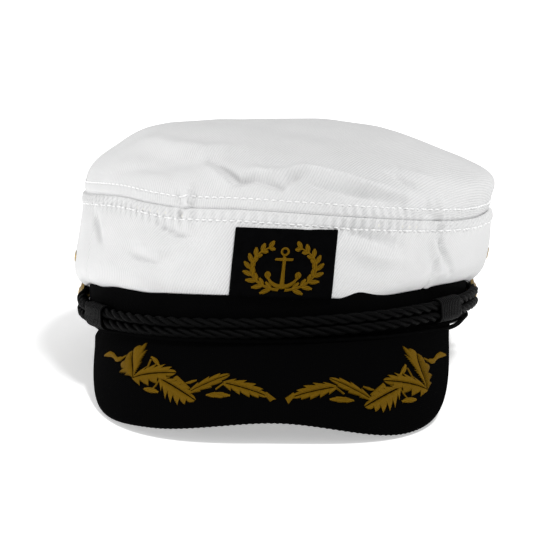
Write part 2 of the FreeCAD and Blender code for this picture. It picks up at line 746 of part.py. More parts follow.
def lay_down():
    """Tilts the cap nose up and lifts it until it rests on the table."""
    tilt = FreeCAD.Placement(V(0, 0, 0), FreeCAD.Rotation(ACROSS, -number("rest_tilt")))
    whole = []
    for part in parts:
        shape = part.Shape.copy()
        shape.Placement = tilt * stance.get(part.Label, FreeCAD.Placement())
        whole.append(shape)
        if part.Label in ("visor_under_cover", "head_band"):
            print(f"{part.Label}: lowest point {shape.optimalBoundingBox(False, False).ZMin:.3f}")
    box = Part.makeCompound(whole).optimalBoundingBox(False, False)
    centre = V((box.XMin + box.XMax) / 2, (box.YMin + box.YMax) / 2, box.ZMin)
    rest = FreeCAD.Placement(-centre, FreeCAD.Rotation()) * tilt
    for part in parts:
        part.Placement = rest * stance.get(part.Label, FreeCAD.Placement())
    print(f"rest: shift {rest.Base.x:.4f} {rest.Base.y:.4f} {rest.Base.z:.4f}")


def check_and_write():
    doc.recompute()
    for item in doc.Objects:
        if "Invalid" in item.State or "Error" in item.State:
            raise SystemExit(f"{item.Name} failed: {item.State}")
    os.makedirs("parts", exist_ok=True)
    for part in parts:
        if part.Shape.isNull() or not part.Shape.isValid() or not part.Shape.Solids:
            raise SystemExit(f"{part.Label} has no valid solid")
        part.Shape.exportStep(f"parts/{part.Label}.step")
        print(f"{part.Label}: {part.Shape.Volume:.0f} mm3, {len(part.Shape.Solids)} solid(s)")


make_band()
make_crown()
make_visor()
make_badge()
make_chin_cord()
make_buttons()
doc.recompute()
lay_down()
check_and_write()
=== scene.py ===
import json
import math

import bpy
import numpy as np
from mathutils import Matrix


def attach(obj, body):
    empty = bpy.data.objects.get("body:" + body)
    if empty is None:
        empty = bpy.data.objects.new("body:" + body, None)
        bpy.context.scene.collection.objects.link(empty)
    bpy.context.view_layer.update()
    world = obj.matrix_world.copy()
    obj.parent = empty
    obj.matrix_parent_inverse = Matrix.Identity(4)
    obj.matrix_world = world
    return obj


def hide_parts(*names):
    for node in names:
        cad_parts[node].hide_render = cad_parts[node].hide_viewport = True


# A cloth yachting cap.  Sizes are millimetres in the head's own frame: +X the wearer's left (right
# as seen from in front), +Y towards the nape, +Z up the head, from the middle of the band's rim.

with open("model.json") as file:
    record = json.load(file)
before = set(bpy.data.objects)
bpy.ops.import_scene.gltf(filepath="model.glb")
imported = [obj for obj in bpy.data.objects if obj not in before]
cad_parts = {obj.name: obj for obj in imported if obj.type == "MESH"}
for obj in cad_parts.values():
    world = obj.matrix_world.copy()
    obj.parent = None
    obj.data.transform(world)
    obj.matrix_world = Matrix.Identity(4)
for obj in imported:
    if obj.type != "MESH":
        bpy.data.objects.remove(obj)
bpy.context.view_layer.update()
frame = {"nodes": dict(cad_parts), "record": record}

MM = 0.001
opening = next(m for m in frame["record"]["mounts"] if m["name"] == "head_opening")
ORIGIN = np.array(opening["pos_m"], float)
UP = -np.array(opening["axis"], float)
RIGHT = np.array((1.0, 0.0, 0.0))
AXES = np.array((RIGHT, np.cross(UP, RIGHT), UP))


def laid(points):
    """Head-frame millimetres in the row frame, in metres."""
    return ORIGIN + MM * (np.asarray(points, float) @ AXES)


def head_box(node):
    """A CAD node's lowest and highest corner in the head frame, in millimetres."""
    mesh = frame["nodes"][node].data
    at = np.empty(len(mesh.vertices) * 3, np.float32)
    mesh.vertices.foreach_get("co", at)
    inside = (at.reshape(-1, 3) - ORIGIN) @ AXES.T / MM
    return inside.min(0), inside.max(0)


def looking_matrix(side, top, away, place):
    """The world matrix of a camera or a lamp, which looks down its own -Z."""
    matrix = Matrix.Identity(4)
    for column, axis in enumerate((side, top, away, place)):
        for row in range(3):
            matrix[row][column] = axis[row]
    return matrix


# ---- The camera --------------------------------------------------------------------------------

VIEW_FALL = math.radians(5.2)
VIEW_DISTANCE = 1200.0
VIEW_ROLL = math.radians(0.55)
VIEW_AIM = (1.13, 16.3)
LENS = 170.36


def make_camera():
    forward = np.array((0.0, math.cos(VIEW_FALL), -math.sin(VIEW_FALL)))
    upward = np.array((0.0, math.sin(VIEW_FALL), math.cos(VIEW_FALL)))
    eye = -VIEW_DISTANCE * forward
    target = VIEW_AIM[0] * RIGHT + VIEW_AIM[1] * upward
    ahead = (target - eye) / np.linalg.norm(target - eye)
    side = np.cross(ahead, upward)
    side /= np.linalg.norm(side)
    top = np.cross(side, ahead)
    turned_side = math.cos(VIEW_ROLL) * side - math.sin(VIEW_ROLL) * top
    turned_top = math.cos(VIEW_ROLL) * top + math.sin(VIEW_ROLL) * side
    axes = (axis @ AXES for axis in (turned_side, turned_top, -ahead))
    data = bpy.data.cameras.new("camera")
    data.lens = LENS
    data.sensor_width = 36.0
    data.clip_start = 0.05
    camera = bpy.data.objects.new("camera", data)
    camera.matrix_world = looking_matrix(*axes, laid(eye))
    bpy.context.scene.collection.objects.link(camera)
    bpy.context.scene.camera = camera


make_camera()


# ---- Materials ---------------------------------------------------------------------------------


class Recipe:
    """A material's node tree, built up socket by socket."""

    def __init__(self, name, **sockets):
        self.material = bpy.data.materials.new(name)
        self.material.use_nodes = True
        self.tree = self.material.node_tree
        self.shader = self.tree.nodes["Principled BSDF"]
        for socket, value in sockets.items():
            self.shader.inputs[socket.replace("_", " ")].default_value = value

    def add(self, kind, inputs=None, **settings):
        node = self.tree.nodes.new(kind)
        for key, value in settings.items():
            setattr(node, key, value)
        for key, value in (inputs or {}).items():
            if isinstance(value, bpy.types.NodeSocket):
                self.tree.links.new(value, node.inputs[key])
            else:
                node.inputs[key].default_value = value
        return node

    def sum(self, operation, first, second=0.0):
        return self.add("ShaderNodeMath", {0: first, 1: second}, operation=operation).outputs[0]

    def mix(self, first, second, share):
        """first and second added, second weighed by share."""
        return self.sum("ADD", first, self.sum("MULTIPLY", second, share))

    def weave_place(self):
        """The place on the cloth in millimetres, as an x and a y socket."""
        place = self.add("ShaderNodeAttribute", attribute_name="weave").outputs["Vector"]
        parts = self.add("ShaderNodeSeparateXYZ", {0: place})
        return place, parts.outputs["X"], parts.outputs["Y"]

    def ribs(self, across, along, angle, period):
        """A wave from 0 to 1 across lines at an angle to the cloth's x."""
        turned = self.sum(
            "ADD",
            self.sum("MULTIPLY", across, -math.sin(angle) * math.tau / period),
            self.sum("MULTIPLY", along, math.cos(angle) * math.tau / period),
        )
        return self.sum("MULTIPLY_ADD", self.sum("SINE", turned), 0.5)

    def noise(self, vector, scale, detail=3.0):
        inputs = {"Scale": scale, "Detail": detail, "Vector": vector}
        return self.add("ShaderNodeTexNoise", inputs).outputs["Fac"]

    def colours(self, factor, dark, light, low=0.0, high=1.0):
        ramp = self.add("ShaderNodeValToRGB", {0: factor})
        ramp.color_ramp.elements[0].position = low
        ramp.color_ramp.elements[0].color = (*dark, 1)
        ramp.color_ramp.elements[1].position = high
        ramp.color_ramp.elements[1].color = (*light, 1)
        self.tree.links.new(ramp.outputs["Color"], self.shader.inputs["Base Color"])

    def roughness(self, factor, low, high):
        spread = self.add("ShaderNodeMapRange", {0: factor, 3: low, 4: high})
        self.tree.links.new(spread.outputs[0], self.shader.inputs["Roughness"])

    def bump(self, height, distance, strength=1.0):
        inputs = {"Height": height, "Distance": distance * MM, "Strength": strength}
        node = self.add("ShaderNodeBump", inputs)
        self.tree.links.new(node.outputs["Normal"], self.shader.inputs["Normal"])


def grey(value):
    return (value, value, value)


def twill(name, dark, light, angle, period, depth, rough=0.9, specular=0.2):
    """Woven cloth: ribs at an angle in degrees, a period apart in millimetres, and its fuzz."""
    recipe = Recipe(name, Specular_IOR_Level=specular)
    place, x, y = recipe.weave_place()
    ribs = recipe.ribs(x, y, math.radians(angle), period)
    steps = recipe.ribs(x, y, math.radians(angle + 72), period * 0.45)
    fuzz = recipe.noise(place, 1.6, 4.0)
    blotch = recipe.noise(place, 0.05, 2.0)
    height = recipe.mix(recipe.mix(ribs, steps, 0.35), fuzz, 0.5)
    recipe.bump(height, depth)
    # The colour follows the ribs: painted shade, darker in the grooves between them; the fuzz and the
    # blotches are the cloth's own uneven tone.
    tone = recipe.mix(recipe.mix(ribs, fuzz, 0.6), blotch, 0.6)
    recipe.colours(tone, dark, light, 0.2, 1.7)
    recipe.roughness(fuzz, rough - 0.06, min(1.0, rough + 0.06))
    return recipe.material


def fibre(name, dark, light, angle, period, depth, rough, specular):
    """Spun thread: fine yarns that run at an angle in degrees round a strand."""
    recipe = Recipe(name, Specular_IOR_Level=specular)
    place, x, y = recipe.weave_place()
    yarns = recipe.ribs(x, y, math.radians(angle), period)
    fuzz = recipe.noise(place, 2.2, 3.0)
    height = recipe.mix(yarns, fuzz, 0.7)
    recipe.bump(height, depth)
    # The colour is the height itself: painted shade between the yarns and a painted highlight on their
    # crests.
    recipe.colours(height, dark, light, 0.2, 1.4)
    recipe.roughness(fuzz, rough - 0.08, rough + 0.08)
    return recipe.material


def grained(name, dark, light, scale, depth, rough, specular=0.3):
    """A surface with fine grain of its own, from its place in space."""
    recipe = Recipe(name, Specular_IOR_Level=specular)
    place = recipe.add("ShaderNodeTexCoord").outputs["Object"]
    grain = recipe.noise(place, scale, 5.0)
    broad = recipe.noise(place, scale * 0.09, 2.0)
    tone = recipe.mix(grain, broad, 0.8)
    recipe.bump(grain, depth)
    recipe.colours(tone, dark, light, 0.4, 1.25)
    recipe.roughness(grain, rough - 0.1, min(1.0, rough + 0.1))
    return recipe.material


def brass(name):
    """Antique brass: bright where it stands proud, brown in its hollows."""
    recipe = Recipe(name, Metallic=1.0, Specular_IOR_Level=0.5)
    place = recipe.add("ShaderNodeTexCoord").outputs["Object"]
    worn = recipe.add("ShaderNodeAttribute", attribute_name="proud").outputs["Fac"]
    stains = recipe.noise(place, 900.0, 4.0)
    tone = recipe.mix(worn, stains, 0.5)
    recipe.colours(tone, (0.055, 0.030, 0.010), (0.52, 0.36, 0.13), 0.15, 1.05)
    recipe.roughness(stains, 0.26, 0.52)
    recipe.bump(stains, 0.03)
    return recipe.material


WHITE = twill("white_twill", (0.56, 0.565, 0.57), grey(0.73), 60, 1.15, 0.11, 0.95, 0.1)
BLACK = (0.0004, 0.0004, 0.00045)
BAND_TWILL = twill("band_twill", BLACK, (0.0016, 0.0016, 0.0017), 60, 0.9, 0.09, 0.9, 0.01)
VISOR_TWILL = twill("visor_twill", BLACK, (0.0014, 0.0014, 0.0015), 25, 0.8, 0.07, 0.88, 0.01)
LINING = twill("lining_cloth", (0.42, 0.42, 0.41), (0.66, 0.66, 0.64), 45, 0.7, 0.08)
SWEAT = grained("sweatband_cloth", grey(0.006), grey(0.022), 2600.0, 0.10, 0.8)
FELT = grained(
    "badge_felt", (0.0004, 0.0004, 0.0005), (0.0020, 0.0020, 0.0022), 3000.0, 0.20, 0.95, 0.01
)
BOARD = grained("stiffener_board", grey(0.06), grey(0.16), 900.0, 0.05, 0.6)
FOAM = grained("stiffening_foam", (0.55, 0.54, 0.50), (0.80, 0.79, 0.75), 1500.0, 0.2, 0.95)
GOLD = fibre("gold_thread", (0.042, 0.020, 0.0003), (0.185, 0.100, 0.0012), 70, 0.5, 0.05, 0.5, 0.06)
ROPE = fibre("rayon_cord", grey(0.0005), (0.0030, 0.0030, 0.0031), 64, 0.36, 0.04, 0.5, 0.03)
WOUND = fibre("wound_thread", grey(0.0006), (0.0045, 0.0045, 0.0047), 70, 0.35, 0.04, 0.45, 0.04)
STITCH_WHITE = fibre("white_stitches", grey(0.86), grey(0.97), 60, 0.3, 0.03, 0.7, 0.3)
STITCH_BLACK = fibre("black_stitches", grey(0.002), grey(0.012), 60, 0.3, 0.03, 0.6, 0.3)
BRASS = brass("antique_brass")


# ---- Meshes ------------------------------------------------------------------------------------


class Build:
    """Vertices, faces and the cloth place of each vertex, gathered before they become a mesh."""

    def __init__(self):
        self.points, self.faces, self.places, self.proud = [], [], [], []
        self.count = 0

    def put(self, points, faces, places=None, proud=None):
        points = np.asarray(points, float).reshape(-1, 3)
        size = len(points)
        self.points.append(points)
        self.faces += [[i + self.count for i in face] for face in faces]
        self.places.append(np.zeros((size, 2)) if places is None else np.reshape(places, (size, 2)))
        self.proud.append(np.ones(size) if proud is None else np.reshape(proud, size))
        self.count += size

    def grid(self, points, places, wrap=False, flip=False, proud=None):
        """A sheet of quads over an array of rows by columns of points."""
        rows, columns = points.shape[:2]
        self.put(points, grid_faces(rows, columns, wrap, flip), places, proud)

    def piece(self, name, material, body, slot, *replaced):
        mesh = bpy.data.meshes.new(name)
        mesh.from_pydata(laid(np.concatenate(self.points)).tolist(), [], self.faces)
        mesh.shade_smooth()
        places = np.concatenate(self.places)
        weave = mesh.attributes.new("weave", "FLOAT_VECTOR", "POINT")
        weave.data.foreach_set("vector", np.column_stack((places, np.zeros(len(places)))).ravel())
        proud = mesh.attributes.new("proud", "FLOAT", "POINT")
        proud.data.foreach_set("value", np.concatenate(self.proud))
        mesh.materials.append(material)
        made = bpy.data.objects.new(name, mesh)
        bpy.context.scene.collection.objects.link(made)
        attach(made, body)
        if replaced:
            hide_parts(*replaced)
        return made


def grid_faces(rows, columns, wrap=False, flip=False):
    across = np.arange(columns if wrap else columns - 1)
    following = (across + 1) % columns
    first = np.arange(rows - 1)[:, None] * columns
    corners = [first + across, first + following, first + columns + following, first + columns + across]
    faces = np.stack(corners[::-1] if flip else corners, -1).reshape(-1, 4)
    return faces.tolist()


def unit(vectors):
    return vectors / np.maximum(np.linalg.norm(vectors, axis=-1, keepdims=True), 1e-12)


def reach_along(line):
    """The distance along a line of points up to each of them."""
    steps = np.linalg.norm(np.diff(line, axis=0), axis=1)
    return np.concatenate(((0.0,), np.cumsum(steps)))


def read_off(at, reach, values):
    """Rows of values, given at each reach, read off at other places along the line."""
    return np.stack([np.interp(at, reach, column) for column in np.transpose(values)], -1)


def tubes(build, paths, hints, radius, sides=8, flat=1.0, closed=False):
    """Threads along many paths at once: paths is threads by points by 3.

    A hint is a direction across each thread, along which its round section is scaled by flat.
    """
    paths = np.asarray(paths, float)
    count, length = paths.shape[:2]
    if closed:
        ahead = unit(np.roll(paths, -1, 1) - np.roll(paths, 1, 1))
    else:
        ahead = unit(np.gradient(paths, axis=1))
    side = unit(np.cross(ahead, np.broadcast_to(hints, paths.shape)))
    top = np.cross(side, ahead)
    turn = np.arange(sides) * math.tau / sides
    radii = np.broadcast_to(radius, (count, length))[..., None, None]
    ring = np.cos(turn)[:, None] * side[:, :, None] + flat * np.sin(turn)[:, None] * top[:, :, None]
    points = paths[:, :, None] + radii * ring
    along = np.cumsum(np.linalg.norm(np.diff(paths, axis=1, prepend=paths[:, :1]), axis=-1), 1)
    places = np.stack(np.broadcast_arrays(along[..., None], radii[..., 0] * turn), -1)
    rings = np.arange(length if closed else length - 1)[:, None]
    rows, nexts = rings * sides, (rings + 1) % length * sides
    cross = np.arange(sides)
    step = (cross + 1) % sides
    single = np.stack((rows + cross, rows + step, nexts + step, nexts + cross), -1).reshape(-1, 4)
    faces = (single + (np.arange(count) * length * sides)[:, None, None]).reshape(-1, 4).tolist()
    if not closed:
        for start in range(count):
            first = start * length * sides
            faces.append([first + i for i in reversed(range(sides))])
            last = first + (length - 1) * sides
            faces.append([last + i for i in range(sides)])
    build.put(points, faces, places)


CAPSULE = np.array((0.35, 0.85, 1.0, 1.0, 0.85, 0.35))


def stitches(build, line, normals, length, gap, radius, sink=0.25):
    """A row of separate stitches along a line of points."""
    reach = reach_along(line)
    starts = np.arange(0.0, reach[-1] - length, length + gap)
    share = np.array((0.0, 0.12, 0.35, 0.65, 0.88, 1.0))
    at = starts[:, None] + share * length
    paths = read_off(at, reach, line)
    hints = unit(read_off(at, reach, normals))
    arch = np.sin(math.pi * share) * 1.3 - sink
    tubes(build, paths + hints * (radius * arch)[:, None], hints, radius * CAPSULE, 7)


def oval(half_width, half_length, end_radius, angle):
    """The points of a four-arc oval where its outward normal points along angle."""
    end = half_length - end_radius
    side_radius = (half_width**2 + end**2 - end_radius**2) / (2 * (half_width - end_radius))
    side = side_radius - half_width
    turn = math.atan2(abs(end), abs(side))
    x, y = np.cos(angle), np.sin(angle)
    on_side = np.abs(x) > math.cos(turn)
    radius = np.where(on_side, side_radius, end_radius)
    centre_x = np.where(on_side, -side * np.sign(x), 0.0)
    centre_y = np.where(on_side, 0.0, end * np.sign(y))
    return np.stack((centre_x + radius * x, centre_y + radius * y), -1)


BAND_HALF_WIDTH = head_box("head_band")[1][0]
BAND_HALF_LENGTH = head_box("head_band")[1][1]
BAND_HEIGHT = head_box("head_band")[1][2]
BAND_END_RADIUS = BAND_HALF_WIDTH - 11.0


def band_oval(angle, offset=0.0):
    line = oval(BAND_HALF_WIDTH, BAND_HALF_LENGTH, BAND_END_RADIUS, angle)
    return line + np.asarray(offset)[..., None] * outward(angle)[..., :2]


def outward(angle):
    return np.stack((np.cos(angle), np.sin(angle), np.zeros_like(angle)), -1)


def hump(value, centre, width):
    return np.exp(-(((value - centre) / width) ** 2))


def ease(value, low, high):
    share = np.clip((value - low) / (high - low), 0, 1)
    return share * share * (3 - 2 * share)


def ripple(points, seed, size, count=9):
    """Smooth uneven waves of about that size through space, from -1 to 1."""
    draws = np.random.default_rng(seed)
    total = 0.0
    for _ in range(count):
        direction = unit(draws.normal(size=3))
        total = total + np.sin(
            points @ direction * math.tau / (size * draws.uniform(0.7, 1.6)) + draws.uniform(0, 7)
        )
    return total / math.sqrt(count)


# ---- The crown ---------------------------------------------------------------------------------

COLUMNS = 960
WALL_ROWS = 90
DOME_ROWS = 130
SEAM_HALF_WIDTH = 91.0
SEAM_HALF_LENGTH = 104.5
SEAM_END_RADIUS = 79.2
SEAM_CENTRE = np.array((4.5, 7.0))
# The top seam's height in front at places across the cap, and behind, where it only slants.
SEAM_ACROSS = (-87, -76, -66, -57, -43, -29, -16, 6, 42, 69, 80, 88, 96)
SEAM_HEIGHTS = (57.4, 58.0, 57.8, 56.0, 53.9, 53.7, 53.5, 51.9, 48.7, 46.2, 45.6, 45.9, 47.9)
SEAM_HEIGHT = 53.2
SEAM_FALL = 5.0
DOME_HEIGHT = 89.0
FOOT_HEIGHT = 17.5
FOLD_STRENGTH = 1.4
FRONT_BELLY = 0.7
SIDE_BELLY = 7.3
BACK_BELLY = 5.5
LEFT_PANEL_EDGE = -77.0
RIGHT_PANEL_EDGE = 68.0
STITCH_ABOVE = 4.6
STITCH_BELOW = -5.0
PUCKER_LENGTH = 4.2
PUCKER_BELOW = 1.05
PUCKER_ABOVE = 0.55

turns = np.arange(COLUMNS) * math.tau / COLUMNS + math.pi / 2
rightward = np.clip(np.cos(turns), 0, 1)
leftward = np.clip(-np.cos(turns), 0, 1)
forward = np.clip(-np.sin(turns), 0, 1)


def crown_wall(share):
    """A row of the crown's wall, from its foot (0) to the top seam (1)."""
    foot = band_oval(turns, 0.3)
    seam, seam_height = seam_oval()
    across, behind = foot.T
    sag = 0.7 * ease(-across, 0, 25) - 2.2 * hump(across, 36, 17) + 1.6 * hump(across, 74, 9)
    foot_height = FOOT_HEIGHT + sag * ease(-behind, 10, 40) - 2.2 * hump(behind, 0, 26)
    plan = foot * (1 - share) + seam * share
    height = foot_height + (seam_height - foot_height) * share
    ends = np.where(np.sin(turns) < 0, FRONT_BELLY, BACK_BELLY)
    belly = ends + (SIDE_BELLY - ends) * np.cos(turns) ** 2
    tucked = 1 - np.exp(-share / (0.09 + 0.05 * rightward**2))
    swell = belly * (1 - share) ** (1 - 0.5 * rightward**2) * tucked
    return np.column_stack((plan, height)) + outward(turns) * swell[:, None]


def seam_oval():
    """The top seam's plan and its wavering height, column by column."""
    plan = oval(SEAM_HALF_WIDTH, SEAM_HALF_LENGTH, SEAM_END_RADIUS, turns) + SEAM_CENTRE
    behind = SEAM_HEIGHT - SEAM_FALL * (plan[:, 0] - SEAM_CENTRE[0]) / SEAM_HALF_WIDTH
    ahead = np.interp(plan[:, 0], SEAM_ACROSS, SEAM_HEIGHTS)
    height = behind + (ahead - behind) * ease(-plan[:, 1], -12, 12)
    reach = 15
    blur = np.hanning(2 * reach + 1) / np.hanning(2 * reach + 1).sum()
    closed = np.concatenate((height[-reach:], height, height[:reach]))
    height = np.convolve(closed, blur, "valid")
    return plan, height


def crown_dome(angle):
    """A row of the padded top, from the seam (0) to its middle (a quarter turn)."""
    seam, seam_height = seam_oval()
    power = 2.3 - 0.18 * rightward**2 + 0.20 * leftward**2 - 0.35 * forward**2
    shrink = math.cos(angle) ** (2 / power)
    rise = math.sin(angle) ** (2 / power)
    plan = SEAM_CENTRE + (seam - SEAM_CENTRE) * shrink[:, None]
    height = seam_height + (DOME_HEIGHT - seam_height) * rise
    swell = 7.2 * rightward**2 * hump(rise, 0.37, 0.22) * ease(rise, 0.0, 0.1)
    lift = 2.6 * leftward * hump(rise, 0.84, 0.14) * ease(1 - rise, 0, 0.12)
    return np.column_stack((plan, height + lift)) + outward(turns) * swell[:, None]


def grid_normals(points):
    """Outward normals of a grid of points that closes on itself along its rows."""
    across = np.roll(points, -1, 1) - np.roll(points, 1, 1)
    upward = np.gradient(points, axis=0)
    return unit(np.cross(across, upward))


def crown_surface():
    """The whole crown as rows by columns of points, with each point's place on the cloth."""
    wall = [crown_wall(1 - (1 - row / WALL_ROWS) ** 1.4) for row in range(WALL_ROWS)]
    dome = [crown_dome(math.pi / 2 * (row / DOME_ROWS) ** 1.35) for row in range(DOME_ROWS)]
    points = np.array(wall + dome)
    steps = np.linalg.norm(np.diff(points, axis=0), axis=2)
    rise = np.concatenate((np.zeros((1, COLUMNS)), np.cumsum(steps, 0)))
    rise -= rise[WALL_ROWS]
    return points, rise, reach_along(points[WALL_ROWS])


def crease(points, rise, path, width, depth):
    """The lift of a fold along a path: a ridge, or with a negative depth a valley."""
    front = np.where(points[WALL_ROWS, :, 1] < 0)[0]
    corners = []
    for x, height in path:
        row = np.argmin(np.abs(rise[:, front] - height), axis=0)
        line = points[row, front]
        corners.append(line[np.argmin(np.abs(line[:, 0] - x))])
    best = np.full(points.shape[:2], 1e9)
    share = np.zeros(points.shape[:2])
    for index, (start, end) in enumerate(zip(corners[:-1], corners[1:])):
        span = end - start
        t = np.clip(((points - start) @ span) / (span @ span), 0, 1)
        gap = np.linalg.norm(points - start - t[..., None] * span, axis=2)
        nearer = gap < best
        best = np.where(nearer, gap, best)
        share = np.where(nearer, (index + t) / (len(corners) - 1), share)
    fade = np.sin(math.pi * np.clip(share, 0.05, 0.95)) ** 0.6
    return depth * fade * np.exp(-((best / width) ** 2))


# Folds of the soft crown seen in front: points as the distance to the wearer's left and the height
# over the top seam along the cloth, then the fold's width and its depth (negative for a valley).
FOLDS = (
    (((-58, 31.9), (-43, 32.1), (-30, 34.2), (-15, 38.3)), 5.0, 1.76),
    (((-62, 21.5), (-45, 21.9), (-30, 23.2)), 5.0, -1.22),
    (((-28, 27.1), (-22, 19.7), (-16, 13.3), (-9, 15.3), (2, 12.2), (5, 17.2), (13, 22.2)), 2.4, -2.29),
    (((-30, 22.2), (-23, 14.8), (-16, 8.3)), 3.4, 1.35),
    (((-12, 20.3), (-4, 18.2), (1, 21.2)), 3.2, 1.76),
    (((2, 20.2), (12, 23.7), (24, 18.9), (38, 14.5), (54, 10.2)), 2.6, 2.43),
    (((8, 17.2), (24, 12.4), (38, 9), (52, 5.7)), 3.4, -2.56),
    (((48, 21.6), (55, 16.7), (60, 13.8)), 2.0, -1.62),
    (((50, 25.6), (60, 20.8), (68, 18.9)), 4.0, 1.35),
    (((-70, 10.2), (-56, 16.1), (-44, 15)), 3.5, -1.08),
    (((26, -6.6), (39, -9), (51, -11.8)), 3.4, -2.03),
    (((30, -13.6), (42, -16.5), (54, -18.3)), 4.0, 1.22),
    (((-53, -8.7), (-42, -11), (-32, -13.7)), 3.6, -2.03),
    (((-62, -18.5), (-50, -20.4), (-36, -22.4)), 4.5, 1.35),
    (((-36, 8), (-36.5, 2), (-37, -6)), 1.8, 2.03),
    (((-41, 8), (-41, 2), (-41, -6)), 1.6, -1.22),
    (((69, 9), (69, 2), (70, -6)), 1.8, 2.16),
    (((64, 8), (64, 2), (64, -5)), 1.6, -1.35),
    (((70, -6), (71, -14), (74, -26)), 1.7, -2.16),
    (((66, -8), (67, -16), (69, -26)), 2.4, 1.49),
    (((10, -4.8), (16, -10.7), (24, -13.6)), 3.0, 1.08),
    (((-80, -8), (-78, -15), (-75, -22)), 2.6, -1.3),
    (((-68, -24), (-50, -25), (-37, -18)), 4.0, -1.4),
    (((-80, -29), (-62, -31), (-45, -30)), 4.5, 0.9),
)


def dress_crown(points, rise, along):
    """Sinks the seams, raises the folded edges beside them and puckers the cloth between."""
    normals = grid_normals(points)
    seam_x = points[WALL_ROWS, :, 0]
    front = np.sin(turns) < 0.2
    gathered = 0.30 + 0.70 * np.maximum(ease(-seam_x, 30, 45), ease(seam_x, 18, 34))
    gathered = np.where(front, gathered, 0.55)
    beat = along * math.tau / PUCKER_LENGTH + 1.3 * np.sin(along / 17) + 0.9 * np.sin(along / 7.3 + 1)
    pleat = 0.6 * np.sin(beat) + 0.4 * np.abs(np.sin(beat / 2 + 0.4)) - 0.2
    below = ease(rise, STITCH_BELOW - 2.0, STITCH_BELOW + 0.8) * ease(-rise, 0.2, 1.4)
    above = ease(-rise, -STITCH_ABOVE - 1.5, -STITCH_ABOVE + 0.8) * ease(rise, 0.2, 1.4)
    lift = -0.5 * hump(rise, 0.0, 0.28) - 0.12 * hump(rise, 0.0, 1.2)
    lift += 0.28 * ease(rise, STITCH_BELOW - 0.5, STITCH_BELOW + 0.9) * ease(-rise, 0.2, 1.2)
    lift += 0.24 * ease(-rise, -STITCH_ABOVE - 0.5, -STITCH_ABOVE + 0.9) * ease(rise, 0.2, 1.2)
    lift -= 0.24 * (hump(rise, STITCH_BELOW, 0.6) + hump(rise, STITCH_ABOVE, 0.6))
    below = np.maximum(below, 0.35 * ease(rise, -11, -5) * ease(-rise, 4.0, 6.0))
    lift += PUCKER_BELOW * gathered * pleat * below
    lift += PUCKER_ABOVE * gathered * pleat * above * ease(seam_x, -20, 25)
    loose = ease(np.abs(rise), 5.0, 16.0)
    lift += loose * (0.60 * ripple(points, 3, 60.0) + 0.22 * ripple(points, 5, 24.0))
    drawn = ripple(np.column_stack((along, 0 * along, 0 * along)), 13, 21.0)
    lift += 0.45 * drawn * (hump(rise, 10, 8) + 0.7 * hump(rise, -12, 7))
    # Folds weaken where they cross the seam, which is stiff.
    clear = 1 - 0.8 * hump(rise, 0.0, 1.5)
    for path, width, depth in FOLDS:
        lift += FOLD_STRENGTH * clear * crease(points, rise, path, width, depth)
    wall_part = ease(-rise, 0.4, 2.0)
    for edge, side, depth in zip(PANEL_COLUMNS, (-1, 1), (0.5, 1.0)):
        gap = side * (along - along[edge]) + 0.25 * rise
        welt = 0.35 * ease(gap, 0.4, 1.6) * ease(-gap, -5.5, -4.0)
        lift += depth * wall_part * (welt - 0.6 * hump(gap, 0.0, 0.6))
    return points + normals * lift[..., None]


def panel_columns():
    """The columns where the front panel meets the side panels."""
    seam = seam_oval()[0]
    front = np.sin(turns) < 0
    right_edge = np.argmin(np.where(front, np.abs(seam[:, 0] - RIGHT_PANEL_EDGE), 1e9))
    left_edge = np.argmin(np.where(front, np.abs(seam[:, 0] - LEFT_PANEL_EDGE), 1e9))
    return left_edge, right_edge


PANEL_COLUMNS = panel_columns()


def make_crown():
    points, rise, along = crown_surface()
    points = dress_crown(points, rise, along)
    normals = grid_normals(points)
    columns = np.append(np.arange(COLUMNS), 0)
    reach = np.append(along, along[-1] + np.linalg.norm(points[WALL_ROWS, 0] - points[WALL_ROWS, -1]))
    left_edge, right_edge = PANEL_COLUMNS
    inner_row = points[0] - outward(turns) * 0.2 + np.array((0, 0, 1.5))
    for name, first, last in (
        ("crown_left_panel", 0, left_edge),
        ("crown_front_panel", left_edge, right_edge),
        ("crown_right_panel", right_edge, COLUMNS),
    ):
        span = columns[first : last + 1]
        rows = np.concatenate((inner_row[None, span], points[: WALL_ROWS + 1, span]))
        heights = np.concatenate((rise[:1, span] - 1.5, rise[: WALL_ROWS + 1, span]))
        places = np.stack(np.broadcast_arrays(reach[first : last + 1], heights), -1)
        wall = Build()
        wall.grid(rows, places)
        wall.piece(name, WHITE, "cap", "white_twill", name)
    top = Build()
    dome = points[WALL_ROWS:]
    apex = np.array((*SEAM_CENTRE, dome[-1, :, 2].mean()))
    plan = unit(dome[0, :, :2] - SEAM_CENTRE)
    reach_in = rise[-1] + np.linalg.norm(dome[-1, :, :2] - SEAM_CENTRE, axis=1)
    flat = plan[None] * (reach_in[None] - rise[WALL_ROWS:])[..., None]
    faces = grid_faces(*dome.shape[:2], True)
    last_row = (len(dome) - 1) * COLUMNS
    middle = dome.shape[0] * COLUMNS
    faces += [[last_row + i, last_row + (i + 1) % COLUMNS, middle] for i in range(COLUMNS)]
    top.put(
        np.concatenate((dome.reshape(-1, 3), apex[None])),
        faces,
        np.concatenate((flat.reshape(-1, 2), np.zeros((1, 2)))),
    )
    top.piece("crown_top_panel", WHITE, "cap", "white_twill", "crown_top_panel")
    rows = Build()
    for level in (STITCH_BELOW, STITCH_ABOVE):
        line, hints = level_line(points, normals, rise, level)
        stitches(rows, line, hints, 2.3, 0.9, 0.34)
    rows.piece("crown_stitching", STITCH_WHITE, "cap", "white_twill")
    return points, normals


def level_line(points, normals, rise, level):
    """The line round the crown at one distance above the seam, closed, with its normals."""
    picked, hints = [], []
    for column in [*range(COLUMNS), 0]:
        heights = rise[:, column]
        picked.append(read_off(level, heights, points[:, column]))
        hints.append(read_off(level, heights, normals[:, column]))
    return np.array(picked), unit(np.array(hints))


crown_points, crown_normals = make_crown()


# ---- Inside the crown --------------------------------------------------------------------------


